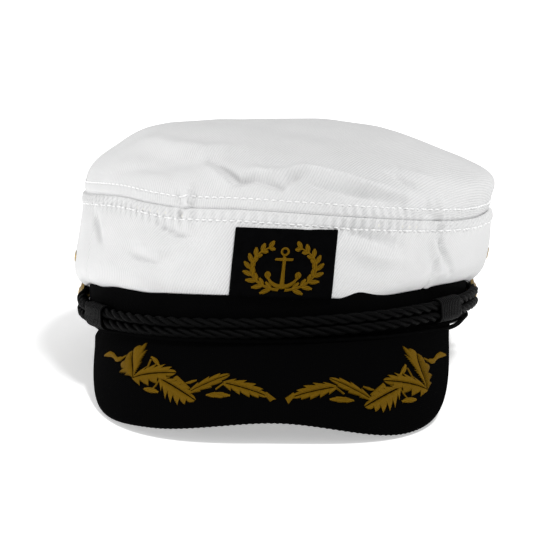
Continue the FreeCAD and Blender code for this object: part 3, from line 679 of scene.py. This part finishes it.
def make_inner_layers():
    """Lining, brow stiffener and seam tape: each lies under the outer cloth."""
    rows = np.r_[6 : WALL_ROWS + DOME_ROWS : 4]
    columns = np.r_[0:COLUMNS:6]
    thin = crown_points[np.ix_(rows, columns)]
    inward = crown_normals[np.ix_(rows, columns)]
    lining = Build()
    sheet = thin - 2.6 * inward
    foot = band_oval(turns[columns], -2.0)
    hem = np.column_stack((foot, np.full(len(columns), FOOT_HEIGHT)))
    sheet = np.concatenate((hem[None], sheet))
    reach = np.linalg.norm(sheet[..., :2] - SEAM_CENTRE, axis=2)
    places = unit(sheet[..., :2] - SEAM_CENTRE) * (reach + sheet[..., 2])[..., None]
    faces = grid_faces(*sheet.shape[:2], True, True)
    last = (len(sheet) - 1) * len(columns)
    faces.append([last + i for i in reversed(range(len(columns)))])
    lining.put(sheet, faces, places)
    lining.piece("crown_lining", LINING, "cap", "lining_cloth", "crown_lining")
    left_edge, right_edge = PANEL_COLUMNS
    across = np.arange(left_edge + 12, right_edge - 12, 6)
    upward = np.arange(24, WALL_ROWS - 12, 4)
    layer = crown_points[np.ix_(upward, across)] - 1.3 * crown_normals[np.ix_(upward, across)]
    stiffener = Build()
    stiffener.grid(layer, layer[..., (0, 2)])
    stiffener.piece("front_stiffener", FOAM, "cap", "foam", "front_stiffener")
    upward = np.arange(WALL_ROWS - 8, WALL_ROWS - 1)
    layer = crown_points[np.ix_(upward, columns)] - 2.0 * crown_normals[np.ix_(upward, columns)]
    tape = Build()
    tape.grid(layer, layer[..., (0, 2)], True)
    tape.piece("crown_seam_tape", LINING, "cap", "lining_cloth", "crown_seam_tape")


make_inner_layers()


# ---- The band, its piping and the sweatband ------------------------------------------------------


def make_band():
    angle = np.linspace(0, math.tau, 721) + math.pi / 2
    heights = np.array((0.4, 0.9, 2, 4, 6, 8, 10, 12, 14, 16, 17.5, 18.5, 19.3, 19.8, 19.9))
    bulge = np.array((-0.8, -0.2, 0, 0, 0, 0, 0, 0, 0, 0, 0, 0, -0.05, -0.4, -1.2))
    rows = []
    for height, offset in zip(heights, bulge):
        rows.append(np.column_stack((band_oval(angle, offset), np.full(len(angle), height))))
    points = np.array(rows)
    hollow = 0.16 * ripple(points, 11, 30.0) * ease(heights, 1, 5)[:, None]
    seam = -0.35 * np.maximum(hump(angle - math.pi / 2, 0, 0.008), hump(angle - math.pi * 2.5, 0, 0.008))
    points += outward(angle)[None] * (hollow + seam)[..., None]
    reach = np.linspace(0, 596.0, len(angle))
    band = Build()
    band.grid(points, np.stack(np.broadcast_arrays(reach, heights[:, None]), -1))
    band.piece("band_cloth", BAND_TWILL, "cap", "band_cloth", "head_band")
    piping = Build()
    ring = angle[:-1]
    brought = ease(-band_oval(ring)[:, 1], 22, 58)
    height = 0.95 - 1.7 * brought + 0.08 * np.sin(9 * ring)
    path = np.column_stack((band_oval(ring, 2.3 * brought - 0.05), height))
    tubes(piping, path[None], outward(ring)[None], 0.92 + 0.1 * brought, 12, closed=True)
    piping.piece("band_piping", BAND_TWILL, "cap", "band_cloth", "band_welt")
    inner = head_box("sweatband")[1][0] - 1.4
    offset = inner - BAND_HALF_WIDTH
    rows = Build()
    for height in (2.2, 21.6):
        line = np.column_stack((band_oval(angle, offset), np.full(len(angle), height)))
        stitches(rows, line, -outward(angle), 2.4, 1.0, 0.22)
    rows.piece("sweatband_stitching", STITCH_BLACK, "cap", "sweatband_cloth")


make_band()


# ---- The visor ---------------------------------------------------------------------------------

SLOPE = math.radians(38.0)
VISOR_HALF_WIDTH = head_box("visor_top_cover")[1][0]
VISOR_REACH = 141.1
VISOR_TIP = 43.0
VISOR_THICK = 2.6
VISOR_SHIFT = -3.5
VISOR_SKEW = 0.05
ROUND_POWER = 2.6
SQUARE_POWER = 3.1
RUN = np.array((0.0, -math.cos(SLOPE), -math.sin(SLOPE)))


def visor_root(x):
    """Where the visor's straight lines leave the rim's plane at each x: y, and the normal there."""
    squeeze = math.sin(SLOPE)
    angle = np.linspace(0.02, math.pi - 0.02, 1200)
    line = oval(BAND_HALF_WIDTH, BAND_HALF_LENGTH * squeeze, BAND_END_RADIUS / squeeze, angle)
    order = np.argsort(line[:, 0])
    turned = np.interp(x, line[order, 0], angle[order])
    rise = np.interp(x, line[order, 0], line[order, 1])
    steep = np.sin(turned)
    normal = np.stack((np.cos(turned), -squeeze * steep, math.cos(SLOPE) * steep), -1)
    return -rise / squeeze, normal


def visor_point(x, y, height=0.0):
    """The point of the visor's upper face above a place in plan, raised along its normal."""
    start, normal = visor_root(x)
    fall = (start - y) / math.cos(SLOPE)
    base = np.stack(np.broadcast_arrays(x, start, 0.0), -1) + fall[..., None] * RUN
    return base + normal * np.asarray(height)[..., None], normal


def visor_edge(turn):
    """The visor's outline in plan: rounder on the wearer's right, squarer on the left."""
    power = np.where(np.cos(turn) > 0, ROUND_POWER, SQUARE_POWER)
    across = -np.sign(np.cos(turn)) * np.abs(np.cos(turn)) ** (2 / power)
    x = VISOR_SHIFT + VISOR_HALF_WIDTH * across
    y = -VISOR_TIP - (VISOR_REACH - VISOR_TIP) * np.sin(turn) ** (2 / power)
    return x, y - VISOR_SKEW * VISOR_HALF_WIDTH * across * np.sin(turn)


def make_visor():
    turn = np.linspace(0, math.pi, 401)
    edge_x, edge_y = visor_edge(turn)
    share = reach_along(np.column_stack((edge_x, edge_y)))
    share = share / share[-1]
    base_x = (VISOR_HALF_WIDTH - 1.0) * np.sin((share - 0.5) * math.pi)
    base_y = np.minimum(visor_root(base_x)[0] + 2.5, -VISOR_TIP)
    inward = np.column_stack((base_x - edge_x, base_y - edge_y))
    depth = np.linalg.norm(inward, axis=1)
    inward = inward / np.maximum(depth, 1e-6)[:, None]

    def layer(distance, height):
        held = np.minimum(distance, depth)
        x, y = edge_x + inward[:, 0] * held, edge_y + inward[:, 1] * held
        points, normals = visor_point(x, y, height - VISOR_THICK / 2 + 0 * x)
        waves = 0.10 * ripple(points, 21, 38.0) * ease(held, 2, 10)
        return points + normals * waves[:, None], np.column_stack((x, visor_root(x)[0] - y))

    half = VISOR_THICK / 2
    flat = [(share * (depth - half) + half, half) for share in np.linspace(1, 0.05, 34)]
    rim = [(half * (1 - math.sin(a)), half * math.cos(a)) for a in np.linspace(0, math.pi, 15)]
    seam = 11
    top = flat + rim[: seam + 1] + [(rim[seam][0] + 0.35, rim[seam][1])]
    under = [(rim[seam][0] + 0.35, rim[seam][1] - 0.05)] + rim[seam + 1 :]
    under += [(distance, -half) for distance, _ in flat[::-1]]
    inner = half - 0.5
    board = [(share * (depth - 1.4) + 1.4, inner) for share in np.linspace(1, 0, 12)]
    board += [(distance, -inner) for distance, _ in board[::-1]]
    for name, layers, material, slot in (
        ("visor_top_cover", top, VISOR_TWILL, "visor_cloth"),
        ("visor_under_cover", under, VISOR_TWILL, "visor_cloth"),
        ("visor_board", board, BOARD, "stiffener_board"),
    ):
        rows = [layer(distance, height) for distance, height in layers]
        sheet = Build()
        sheet.grid(np.array([row[0] for row in rows]), np.array([row[1] for row in rows]), flip=True)
        sheet.piece(name, material, "cap", slot, name)
    line = layer(0.25 + 0 * edge_x, -half * 0.55)[0]
    stitched = Build()
    normals = visor_root(edge_x)[1]
    stitches(stitched, line, unit(-inward @ np.eye(2, 3) - 0.8 * normals), 1.6, 0.9, 0.15, 0.5)
    stitched.piece("visor_rim_stitching", STITCH_BLACK, "cap", "visor_cloth")


make_visor()


# ---- Embroidery --------------------------------------------------------------------------------

THREAD = 0.21
THREAD_PITCH = 0.36


def satin(build, starts, ends, surface, pile):
    """Satin stitches: a thread from each start to each end, arched over the cloth."""
    share = np.array((0.0, 0.07, 0.25, 0.5, 0.75, 0.93, 1.0))
    flat = starts[:, None] + (ends - starts)[:, None] * share[:, None]
    long = np.linalg.norm(ends - starts, axis=1)[:, None]
    arch = np.minimum(pile, 0.12 + 0.30 * long) * np.sqrt(np.clip(4 * share * (1 - share), 0, 1))
    points, normals = surface(flat[..., 0], flat[..., 1], arch + 0.05)
    tubes(build, points, normals, THREAD * np.array((0.5, 0.9, 1, 1, 1, 0.9, 0.5)), 6, 0.8)


def turned_plan(local, origin, heading, side=1):
    angle = math.radians(heading)
    x = origin[0] + local[..., 0] * math.cos(angle) - local[..., 1] * math.sin(angle)
    y = origin[1] + local[..., 0] * math.sin(angle) + local[..., 1] * math.cos(angle)
    return np.stack((side * x, y), -1)


def leaf(build, surface, origin, heading, length, halves, side=1, lobes=5, depth=0.3, belly=0.8):
    """A leaf worked in two halves of slanted satin stitch either side of its midrib."""
    count = max(5, int(length / THREAD_PITCH))
    share = (np.arange(count) + 0.5) / count
    body = np.sin(math.pi * share**belly) ** 0.7
    tooth = (share * lobes) % 1.0
    for half, reach in zip((1, -1), halves):
        reach = reach * body * (1 - depth + depth * 1.5 * tooth)
        gap = 0.2 if min(halves) > 1.8 else -0.1
        starts = np.column_stack((share * length, half * gap + 0 * share))
        over = np.minimum(share * length + 0.45 * reach, length * 1.03)
        ends = np.column_stack((over, half * np.maximum(reach, 0.35)))
        both = [turned_plan(at, origin, heading, side) for at in (starts, ends)]
        satin(build, *both, surface, 0.75)


def column(build, surface, path, widths, pile=0.6, slant=0.35):
    """A satin column: short threads across a path."""
    reach = reach_along(path)
    at = np.arange(0.1, reach[-1], THREAD_PITCH)
    middle = read_off(at, reach, path)
    ahead = unit(np.gradient(middle, axis=0))
    across = np.column_stack((-ahead[:, 1], ahead[:, 0]))
    half = np.interp(at / reach[-1], np.linspace(0, 1, len(widths)), widths)[:, None] / 2
    tilt = ahead * slant * half
    satin(build, middle - across * half - tilt, middle + across * half + tilt, surface, pile)


# The oak spray on the wearer's left, from its outer end: each leaf's foot, heading, length, the
# reach of its two halves (left and right of the heading), lobes a side, their depth and its belly.
SPRAY = (
    (61, -100.7, 97, 13.5, (6.0, 5.2), 4, 0.30, 1.3),
    (52.9, -96.9, 245, 7.5, (0.7, 0.7), 1, 0.1, 0.8),
    (61, -100.7, 208.7, 20.8, (4.2, 3.4), 5, 0.34, 0.75),
    (56, -110, 223, 8.4, (0.9, 0.9), 1, 0.1, 0.8),
    (49.5, -109.5, 229, 23, (4.8, 2.7), 6, 0.32, 0.9),
    (37.9, -122.3, 170, 17.8, (2.6, 2.4), 4, 0.24, 0.9),
    (30, -126, 196, 10.2, (1.3, 1.2), 3, 0.15, 0.9),
    (23.5, -122.2, 204.9, 20.5, (2.9, 3.2), 5, 0.3, 0.8),
)
# Twigs of the spray: each one's path and the widths along it.
TWIGS = (
    (
        ((72.4, -71.5), (70.6, -74.2), (68.6, -78), (66.6, -83), (64.6, -85.6), (62.5, -86.5)),
        (0.5, 1.4, 1.1, 0.8, 1.5, 0.6),
    ),
    (((53.2, -98.2), (54.4, -100.2), (55.3, -102.5)), (0.9, 0.9)),
    (((49.3, -110), (51, -112), (52.5, -112.8)), (0.9, 0.9)),
    (((42.9, -112.8), (37.3, -120.9)), (2.0, 1.8)),
    (((38.4, -117.4), (36.4, -117.9), (33.9, -118)), (0.5, 1.4, 0.6)),
    (((26, -124.6), (23.6, -123.2), (22, -122.6)), (0.8, 0.9)),
    (((5.8, -129.3), (4.4, -130.9), (2.8, -132.6)), (1.4, 2.6)),
)


def make_sprays():
    for word, side in (("left", -1), ("right", 1)):
        work = Build()

        def surface(x, y, height):
            return visor_point(x + 0.5 - 2.0 * ease(y, -101, -89), y - 0.047 * x, height)

        for x, y, heading, length, halves, lobes, depth, belly in SPRAY:
            leaf(work, surface, (x, y), heading, length, halves, side, lobes, depth, belly)
        for path, widths in TWIGS:
            column(work, surface, np.array(path, float) * (side, 1), widths, 0.55)
        node = f"visor_embroidery_{word}"
        work.piece(node, GOLD, "cap", "gold_thread", node)


make_sprays()


# ---- The badge ---------------------------------------------------------------------------------

BADGE_TILT = math.radians(2.2)
BADGE_LEAN = math.radians(6.4)
BADGE_WIDTH = 43.0
BADGE_HEIGHT = 29.0
BADGE_DROP = 1.2
WREATH_HALF_WIDTH = 13.2
WREATH_HALF_HEIGHT = 9.2
WREATH_LEAVES = 9
FELT_RISE = 1.5
badge_low, badge_high = head_box("badge_patch")
BADGE_MIDDLE = (badge_low + badge_high) / 2 - (0.0, 0.0, BADGE_DROP)


def brow_facing(x):
    """The outward direction of the band in front at each x."""
    angle = -np.linspace(0.02, math.pi - 0.02, 1200)
    line = band_oval(angle)
    order = np.argsort(line[:, 0])
    return outward(np.interp(x, line[order, 0], angle[order]))


def front_profile():
    """The smoothed front of the crown's wall: its y over places across and heights."""
    across = np.linspace(-45, 45, 61)
    heights = np.linspace(BAND_HEIGHT - 3, 54, 25)
    ahead = np.where(np.sin(turns) < -0.55)[0]
    wall = crown_points[:WALL_ROWS, ahead]
    y = np.empty((len(heights), len(across)))
    for row, height in enumerate(heights):
        line = [read_off(height, wall[:, k, 2], wall[:, k, :2]) for k in range(len(ahead))]
        line = np.array(sorted(line, key=tuple))
        y[row] = np.interp(across, line[:, 0], line[:, 1])
    for _ in range(6):
        y[1:-1] = (y[:-2] + y[1:-1] + y[2:]) / 3
        y[:, 1:-1] = (y[:, :-2] + y[:, 1:-1] + y[:, 2:]) / 3
    return across, heights, y


FRONT_ACROSS, FRONT_HEIGHTS, FRONT_Y = front_profile()


def crown_front(x, z):
    """The y of the crown's smoothed front at each x and z."""
    column = (x - FRONT_ACROSS[0]) / (FRONT_ACROSS[1] - FRONT_ACROSS[0])
    row = (z - FRONT_HEIGHTS[0]) / (FRONT_HEIGHTS[1] - FRONT_HEIGHTS[0])
    column = np.clip(column, 0, len(FRONT_ACROSS) - 1.001)
    row = np.clip(row, 0, len(FRONT_HEIGHTS) - 1.001)
    i, j = row.astype(int), column.astype(int)
    a, b = row - i, column - j
    low = FRONT_Y[i, j] * (1 - b) + FRONT_Y[i, j + 1] * b
    return low * (1 - a) + (FRONT_Y[i + 1, j] * (1 - b) + FRONT_Y[i + 1, j + 1] * b) * a


def badge_point(x, y, height=0.0):
    """A point over the badge: x to the right, y up, raised off the felt's face."""
    lean_x = BADGE_MIDDLE[0] + x * math.cos(BADGE_TILT) + y * math.sin(BADGE_LEAN)
    lean_z = BADGE_MIDDLE[2] - x * math.sin(BADGE_TILT) + y * math.cos(BADGE_LEAN)
    facing = brow_facing(lean_x)
    base = np.stack(np.broadcast_arrays(lean_x, crown_front(lean_x, lean_z), lean_z), -1)
    normal = unit(facing + np.array((0, 0, 0.05)))
    return base + normal * (FELT_RISE + np.asarray(height))[..., None], normal


def emblem(x, y, height):
    return badge_point(x + 0.2, y - 1.7, height)


def make_patch():
    patch = Build()
    grid_x, grid_y = np.meshgrid(np.linspace(-1, 1, 90), np.linspace(-1, 1, 62))
    plan_x, plan_y = grid_x * BADGE_WIDTH / 2, grid_y * BADGE_HEIGHT / 2
    inset = np.minimum(BADGE_WIDTH / 2 - np.abs(plan_x), BADGE_HEIGHT / 2 - np.abs(plan_y))
    drop = -2.2 * (1 - ease(inset, 0.0, 0.9)) ** 2
    drop = drop + 0.10 * ripple(np.stack((grid_x * 20, grid_y * 14, 0 * grid_x), -1), 31, 16.0)
    patch.grid(badge_point(plan_x, plan_y, drop)[0], np.stack((plan_x, plan_y), -1))
    patch.piece("badge_patch", FELT, "cap", "badge_felt", "badge_patch")


def make_anchor():
    anchor = Build()
    arc = np.radians(np.linspace(206, 334, 30))
    ring = np.radians(np.linspace(0, 360, 24))
    arms = np.column_stack((6.4 * np.cos(arc), -1.6 + 6.2 * np.sin(arc)))
    eye = np.column_stack((1.4 * np.cos(ring), 6.6 + 1.4 * np.sin(ring)))
    column(anchor, emblem, ((0, -8.2), (0, 4.8)), (2.0, 1.3, 1.2))
    column(anchor, emblem, ((-3.6, 3.4), (3.6, 3.4)), (0.9, 1.3, 0.9))
    column(anchor, emblem, arms, (0.8, 1.5, 2.0, 1.5, 0.8))
    column(anchor, emblem, eye, (0.8, 0.8))
    for side in (-1, 1):
        leaf(anchor, emblem, (5.8, -4.9), 80, 3.2, (1.3, 1.3), side, 1, 0.1)
    anchor.piece("badge_anchor", GOLD, "cap", "gold_thread", "badge_anchor")


def make_wreath():
    for word, side in (("left", -1), ("right", 1)):
        branch = Build()
        turn = np.radians(np.linspace(-84, 60, 40))
        stem = (WREATH_HALF_WIDTH * np.cos(turn) * side, WREATH_HALF_HEIGHT * np.sin(turn))
        column(branch, emblem, np.column_stack(stem), (1.2, 0.9, 0.6))
        for step in range(WREATH_LEAVES):
            at = math.radians(-72 + 16.5 * step)
            wide, high = WREATH_HALF_WIDTH * math.cos(at), WREATH_HALF_HEIGHT * math.sin(at)
            back, on = -WREATH_HALF_WIDTH * math.sin(at), WREATH_HALF_HEIGHT * math.cos(at)
            ahead = math.degrees(math.atan2(on, back))
            size = 5.0 - 0.2 * step
            leaf(branch, emblem, (wide, high), ahead - 36, size, (0.95, 0.95), side, 1, 0.05)
            leaf(branch, emblem, (wide, high), ahead + 34, size * 0.75, (0.85, 0.85), side, 1, 0.05)
        node = f"badge_wreath_{word}"
        branch.piece(node, GOLD, "cap", "gold_thread", node)


make_patch()
make_anchor()
make_wreath()


# ---- The chin cord -----------------------------------------------------------------------------

CORD_STANDOFF = 3.3
CORD_HALF_GAP = 2.2
CORD_DROOP = math.radians(2.1)
BUTTON_HEIGHT = 10.5
STRAND_PITCH = 20.0
STRAND_REACH = 1.18
STRAND_RADIUS = 1.04
LOOP_RADIUS = 2.75
LOOP_STANDOFF = 1.15
LOOP_FLATNESS = 0.45
SIDE_ARC_RADIUS = 123.0
WINDINGS = 12
WINDING_PITCH = 1.56
WINDING_RADIUS = 0.42
WINDING_REACH = 2.72


def cord_place(angle, above, standoff):
    """Points on the cord's drooping plane with the local outward and upward directions."""
    plan = band_oval(angle, standoff)
    facing = outward(angle)
    upward = np.broadcast_to((0.0, -math.sin(CORD_DROOP), math.cos(CORD_DROOP)), facing.shape)
    sag = (1.5 * np.clip(plan[:, 0] / 62, -1, 1) - 1.7) * ease(-plan[:, 1], 0, 21)
    height = BUTTON_HEIGHT + plan[:, 1] * math.tan(CORD_DROOP) + sag
    points = np.column_stack((plan, height)) + upward * np.asarray(above)[:, None]
    return points, facing, upward


def cord_route():
    """Both runs and the two loops behind the posts, as one closed line, with its flatness."""
    front = np.linspace(math.pi + 0.001, math.tau - 0.001, 1400)
    turn = np.linspace(math.pi / 2, -math.pi / 2, 26)[1:-1]
    past = LOOP_RADIUS * np.cos(turn)
    parts = []
    for side, angle in ((1, front), (-1, front[::-1])):
        tucked = 1 - ease(-band_oval(angle, CORD_STANDOFF)[:, 1], 1.0, 13.0)
        standoff = CORD_STANDOFF * (1 - tucked) + LOOP_STANDOFF * tucked
        above = side * CORD_HALF_GAP * (1 + 0.25 * tucked)
        parts.append((*cord_place(angle, above, standoff), 1 - (1 - LOOP_FLATNESS) * tucked))
        near = past / SIDE_ARC_RADIUS if side > 0 else math.pi - past / SIDE_ARC_RADIUS
        above = side * LOOP_RADIUS * np.sin(turn)
        loop = cord_place(near, above, np.full(len(turn), LOOP_STANDOFF))
        parts.append((*loop, np.full(len(turn), LOOP_FLATNESS)))
    return [np.concatenate(values) for values in zip(*parts)]


def make_cord():
    points, facing, upward, flatness = cord_route()
    reach = reach_along(np.concatenate((points, points[:1])))
    count = int(reach[-1] / 0.5)
    at = np.arange(count) * reach[-1] / count

    def evenly(values):
        """Values of the closed route at even steps round it."""
        return read_off(at, reach, np.concatenate((values, values[:1])))

    points, facing, upward = evenly(points), unit(evenly(facing)), unit(evenly(upward))
    flatness = evenly(flatness[:, None])
    ahead = unit(np.roll(points, -1, 0) - np.roll(points, 1, 0))
    across = unit(facing - ahead * np.sum(facing * ahead, 1)[:, None])
    rising = np.cross(ahead, across)
    turns_in_all = round(reach[-1] / STRAND_PITCH)
    sides = 12
    ring = np.arange(sides) * math.tau / sides
    cord = Build()
    for strand in range(3):
        twist = turns_in_all * math.tau * at / reach[-1] + strand * math.tau / 3
        out = STRAND_REACH * np.cos(twist)[:, None] + STRAND_RADIUS * np.cos(ring)
        lift = STRAND_REACH * np.sin(twist)[:, None] + STRAND_RADIUS * np.sin(ring)
        swell = 1 + 0.02 * np.sin(at * 1.7 + strand)[:, None]
        body = points[:, None] + (out * flatness * swell)[..., None] * across[:, None]
        body = body + (lift * swell)[..., None] * rising[:, None]
        places = np.stack(np.broadcast_arrays(at[:, None], STRAND_RADIUS * ring), -1)
        index = np.arange(count)[:, None] * sides
        following = ((np.arange(count) + 1) % count)[:, None] * sides
        cross, step = np.arange(sides), (np.arange(sides) + 1) % sides
        faces = np.stack((index + cross, following + cross, following + step, index + step), -1)
        cord.put(body, faces.reshape(-1, 4).tolist(), places)
    cord.piece(
        "chin_cord", ROPE, "chin_cord", "black_cord",
        "chin_cord_upper_run", "chin_cord_lower_run", "chin_cord_loop_left", "chin_cord_loop_right",
    )


make_cord()


def make_slides():
    """Thread wound round both runs of the cord, turn beside turn."""
    for word, side in (("left", -1), ("right", 1)):
        low, high = head_box(f"cord_slide_{word}")
        middle_y = (low[1] + high[1]) / 2
        start = math.pi if side < 0 else -math.pi / 2
        angle = np.linspace(start, start + math.pi / 2, 4000)
        line = band_oval(angle, CORD_STANDOFF)
        middle = np.argmin(np.abs(line[:, 1] - middle_y))
        reach = reach_along(line)
        wound = Build()
        ring = np.arange(40) * math.tau / 40
        for index in range(WINDINGS):
            shift = (index - (WINDINGS - 1) / 2) * WINDING_PITCH
            at = np.interp(reach[middle] + shift, reach, angle)
            points, facing, upward = cord_place(np.array([at]), np.array([0.0]), CORD_STANDOFF)
            ahead = np.cross(facing, upward)
            swell = WINDING_REACH + 0.07 * math.sin(math.pi * (index + 0.5) / WINDINGS)
            out = swell * np.cos(ring)
            lift = swell * np.sin(ring) + CORD_HALF_GAP * np.sign(np.round(np.sin(ring), 6))
            lean = 0.45 * lift[:, None] / (CORD_HALF_GAP + 2.6)
            path = points + out[:, None] * facing + lift[:, None] * upward + lean * ahead
            sideways = np.broadcast_to(ahead, path.shape)
            tubes(wound, path[None], sideways[None], WINDING_RADIUS, 10, 1.88, closed=True)
        node = f"cord_slide_{word}"
        wound.piece(node, WOUND, node, "black_thread", node)


make_slides()


# ---- Buttons and eyelets -----------------------------------------------------------------------


def revolved(build, profile, centre, axis, steps=48, proud=None):
    """A profile of (radius, height) points turned about an axis through a centre."""
    axis = unit(np.asarray(axis, float))
    side = unit(np.cross(axis, (0.0, 1.0, 0.0) if abs(axis[1]) < 0.9 else (1.0, 0.0, 0.0)))
    other = np.cross(axis, side)
    turn = np.arange(steps) * math.tau / steps
    radii, heights = np.asarray(profile, float).T
    ring = np.cos(turn)[:, None] * side + np.sin(turn)[:, None] * other
    points = centre + radii[:, None, None] * ring + heights[:, None, None] * axis
    shares = None if proud is None else np.broadcast_to(np.asarray(proud)[:, None], (len(radii), steps))
    places = np.zeros((len(radii), steps, 2))
    build.grid(points, places, True, False, shares)


def segment_gap(x, y, start, end):
    span = np.subtract(end, start)
    t = np.clip(((x - start[0]) * span[0] + (y - start[1]) * span[1]) / (span @ span), 0, 1)
    return np.hypot(x - start[0] - t * span[0], y - start[1] - t * span[1])


def anchor_relief(x, y):
    """How far inside a small plain anchor each place is, from 0 to 1."""
    gap = segment_gap(x, y, (0, -2.6), (0, 2.0)) - 0.30
    gap = np.minimum(gap, segment_gap(x, y, (-1.3, 1.45), (1.3, 1.45)) - 0.24)
    gap = np.minimum(gap, np.abs(np.hypot(x, y - 2.7) - 0.62) - 0.20)
    bow = np.abs(np.hypot(x, y + 0.2) - 2.5) - 0.30
    gap = np.minimum(gap, np.where((y < -1.0), bow, 9.0))
    return 1 - ease(gap, -0.05, 0.28)


def make_buttons():
    for word, side in (("left", -1), ("right", 1)):
        low, high = head_box(f"button_{word}_dome")
        base = low[0] if side > 0 else -high[0]
        rise = (high[0] - low[0]) - 0.35
        radius = (high[2] - low[2]) / 2
        rings = np.concatenate((np.linspace(0.02, 0.80, 44), np.linspace(0.81, 1.0, 22)))
        turn = np.arange(120) * math.tau / 120
        across = rings[:, None] * radius * np.cos(turn)
        upward = rings[:, None] * radius * np.sin(turn)
        ball = (radius**2 + rise**2) / (2 * rise)
        height = np.sqrt(ball**2 - (rings * radius) ** 2)[:, None] - (ball - rise) + 0 * across
        rope = hump(rings, 0.90, 0.055)[:, None]
        height = height + rope * (0.28 + 0.12 * np.sin(30 * turn + 26 * rings[:, None]))
        relief = anchor_relief(across, upward)
        height = height + 0.30 * relief
        proud = 0.25 + 0.55 * relief + 0.5 * rope * (0.5 + 0.5 * np.sin(30 * turn))
        points = np.stack((side * (base + height), side * across, BUTTON_HEIGHT + upward), -1)
        dome = Build()
        dome.grid(points, np.zeros((*across.shape, 2)), True, side < 0, proud)
        dome.faces.append(list(range(120)) if side < 0 else list(reversed(range(120))))
        node = f"button_{word}_dome"
        dome.piece(node, BRASS, f"button_{word}", "antique_brass", node)
        plate_low, plate_high = head_box(f"button_{word}_plate")
        face = abs(plate_high[0] if side > 0 else plate_low[0])
        plate = Build()
        edge = (plate_high[2] - plate_low[2]) / 2
        profile = (
            (0.8, -0.6), (edge - 0.5, -0.6), (edge - 0.1, -0.5), (edge, -0.25),
            (edge - 0.05, 0.02), (edge - 0.35, 0.12), (edge - 0.7, 0.05), (0.8, 0.0),
        )
        centre = np.array((side * face, 0, BUTTON_HEIGHT))
        revolved(plate, profile, centre, (side, 0, 0), 72, (0.2, 0.5, 0.9, 1, 1, 0.9, 0.4, 0.2))
        post = ((1.2, -4.4), (1.2, -0.6))
        revolved(plate, post, centre, (side, 0, 0), 24)
        node = f"button_{word}_plate"
        plate.piece(node, BRASS, f"button_{word}", "antique_brass", node)


make_buttons()


# Profiles of an eyelet's rim and washer, as radii and heights over the cloth.
EYELET_RIM = (
    (1.3, -2.9), (1.3, -0.1), (1.45, 0.2), (1.8, 0.34),
    (2.3, 0.26), (2.6, 0.05), (2.6, -0.2), (2.2, -0.3),
)
EYELET_WASHER = ((1.4, -2.5), (2.7, -2.5), (2.8, -2.75), (2.6, -3.0), (1.4, -3.0))


def make_eyelets():
    """Brass rims in the crown's sides, each with its washer inside the lining."""
    wall = crown_points[:WALL_ROWS]
    for word, side in (("left", -1), ("right", 1)):
        low, high = head_box(f"vent_eyelets_{word}")
        rims, washers = Build(), Build()
        for y in (low[1] + 2.6, high[1] - 2.6):
            gap = np.hypot(wall[..., 1] - y, wall[..., 2] - (low[2] + high[2]) / 2)
            gap = np.where(np.sign(wall[..., 0]) == side, gap, 1e9)
            row, at = np.unravel_index(np.argmin(gap), gap.shape)
            centre, axis = crown_points[row, at], crown_normals[row, at]
            revolved(rims, EYELET_RIM, centre, axis, 40, (0.0, 0.1, 0.4, 0.6, 0.5, 0.3, 0.2, 0.1))
            revolved(washers, EYELET_WASHER, centre, axis, 40, (0.3, 0.5, 0.9, 1, 0.5))
        rims.piece(f"vent_eyelets_{word}", BRASS, "cap", "antique_brass", f"vent_eyelets_{word}")
        washers.piece(f"vent_washers_{word}", BRASS, "cap", "antique_brass", f"vent_washers_{word}")


make_eyelets()


# ---- The CAD pieces that stay --------------------------------------------------------------------

KEPT = {
    "sweatband": SWEAT,
    "band_stiffener": BOARD,
    "button_left_retainer": BRASS,
    "button_right_retainer": BRASS,
}


def dress_cad():
    for name, node in frame["nodes"].items():
        if node.hide_render:
            continue
        for material_slot in node.material_slots:
            material_slot.material = KEPT[name]


dress_cad()


# ---- Floor and light -----------------------------------------------------------------------------


def make_floor():
    mesh = bpy.data.meshes.new("floor")
    half = 3.0
    corners = [(-half, -half, 0), (half, -half, 0), (half, half, 0), (-half, half, 0)]
    mesh.from_pydata(corners, [], [(0, 1, 2, 3)])
    floor = bpy.data.objects.new("floor", mesh)
    bpy.context.scene.collection.objects.link(floor)
    recipe = Recipe("floor", Specular_IOR_Level=0.1)
    place = recipe.add("ShaderNodeTexCoord").outputs["Object"]
    grain = recipe.noise(place, 3.0)
    recipe.colours(grain, (0.93, 0.93, 0.93), (0.96, 0.96, 0.96))
    recipe.roughness(grain, 0.85, 0.95)
    # The floor glows: painted light that lifts the shadow under the visor and lights the cap from below
    # like a lit table top.
    recipe.shader.inputs["Emission Color"].default_value = (1.0, 1.0, 1.0, 1)
    recipe.shader.inputs["Emission Strength"].default_value = 0.40
    mesh.materials.append(recipe.material)


def make_sun(name, place, target, spread, power):
    data = bpy.data.lights.new(name, "SUN")
    data.energy = power
    data.angle = math.radians(spread)
    lamp = bpy.data.objects.new(name, data)
    away = unit(np.subtract(place, target))
    side = unit(np.cross((0.0, 0.0, 1.0), away))
    lamp.matrix_world = looking_matrix(side, np.cross(away, side), away, place)
    bpy.context.scene.collection.objects.link(lamp)


def make_light():
    world = bpy.data.worlds.new("studio")
    world.use_nodes = True
    background = world.node_tree.nodes["Background"]
    background.inputs["Color"].default_value = (1.0, 1.0, 1.0, 1)
    background.inputs["Strength"].default_value = 0.40
    bpy.context.scene.world = world
    middle = (0.0, 0.0, 0.05)
    make_sun("key", (0.75, -0.6, 2.1), middle, 11.0, 1.75)
    make_sun("left_side", (-1.3, -0.25, 0.2), middle, 16.0, 1.5)
    make_sun("right_side", (1.3, -0.25, 0.3), middle, 16.0, 0.35)


make_floor()
make_light()
bpy.context.scene.view_settings.view_transform = "Standard"
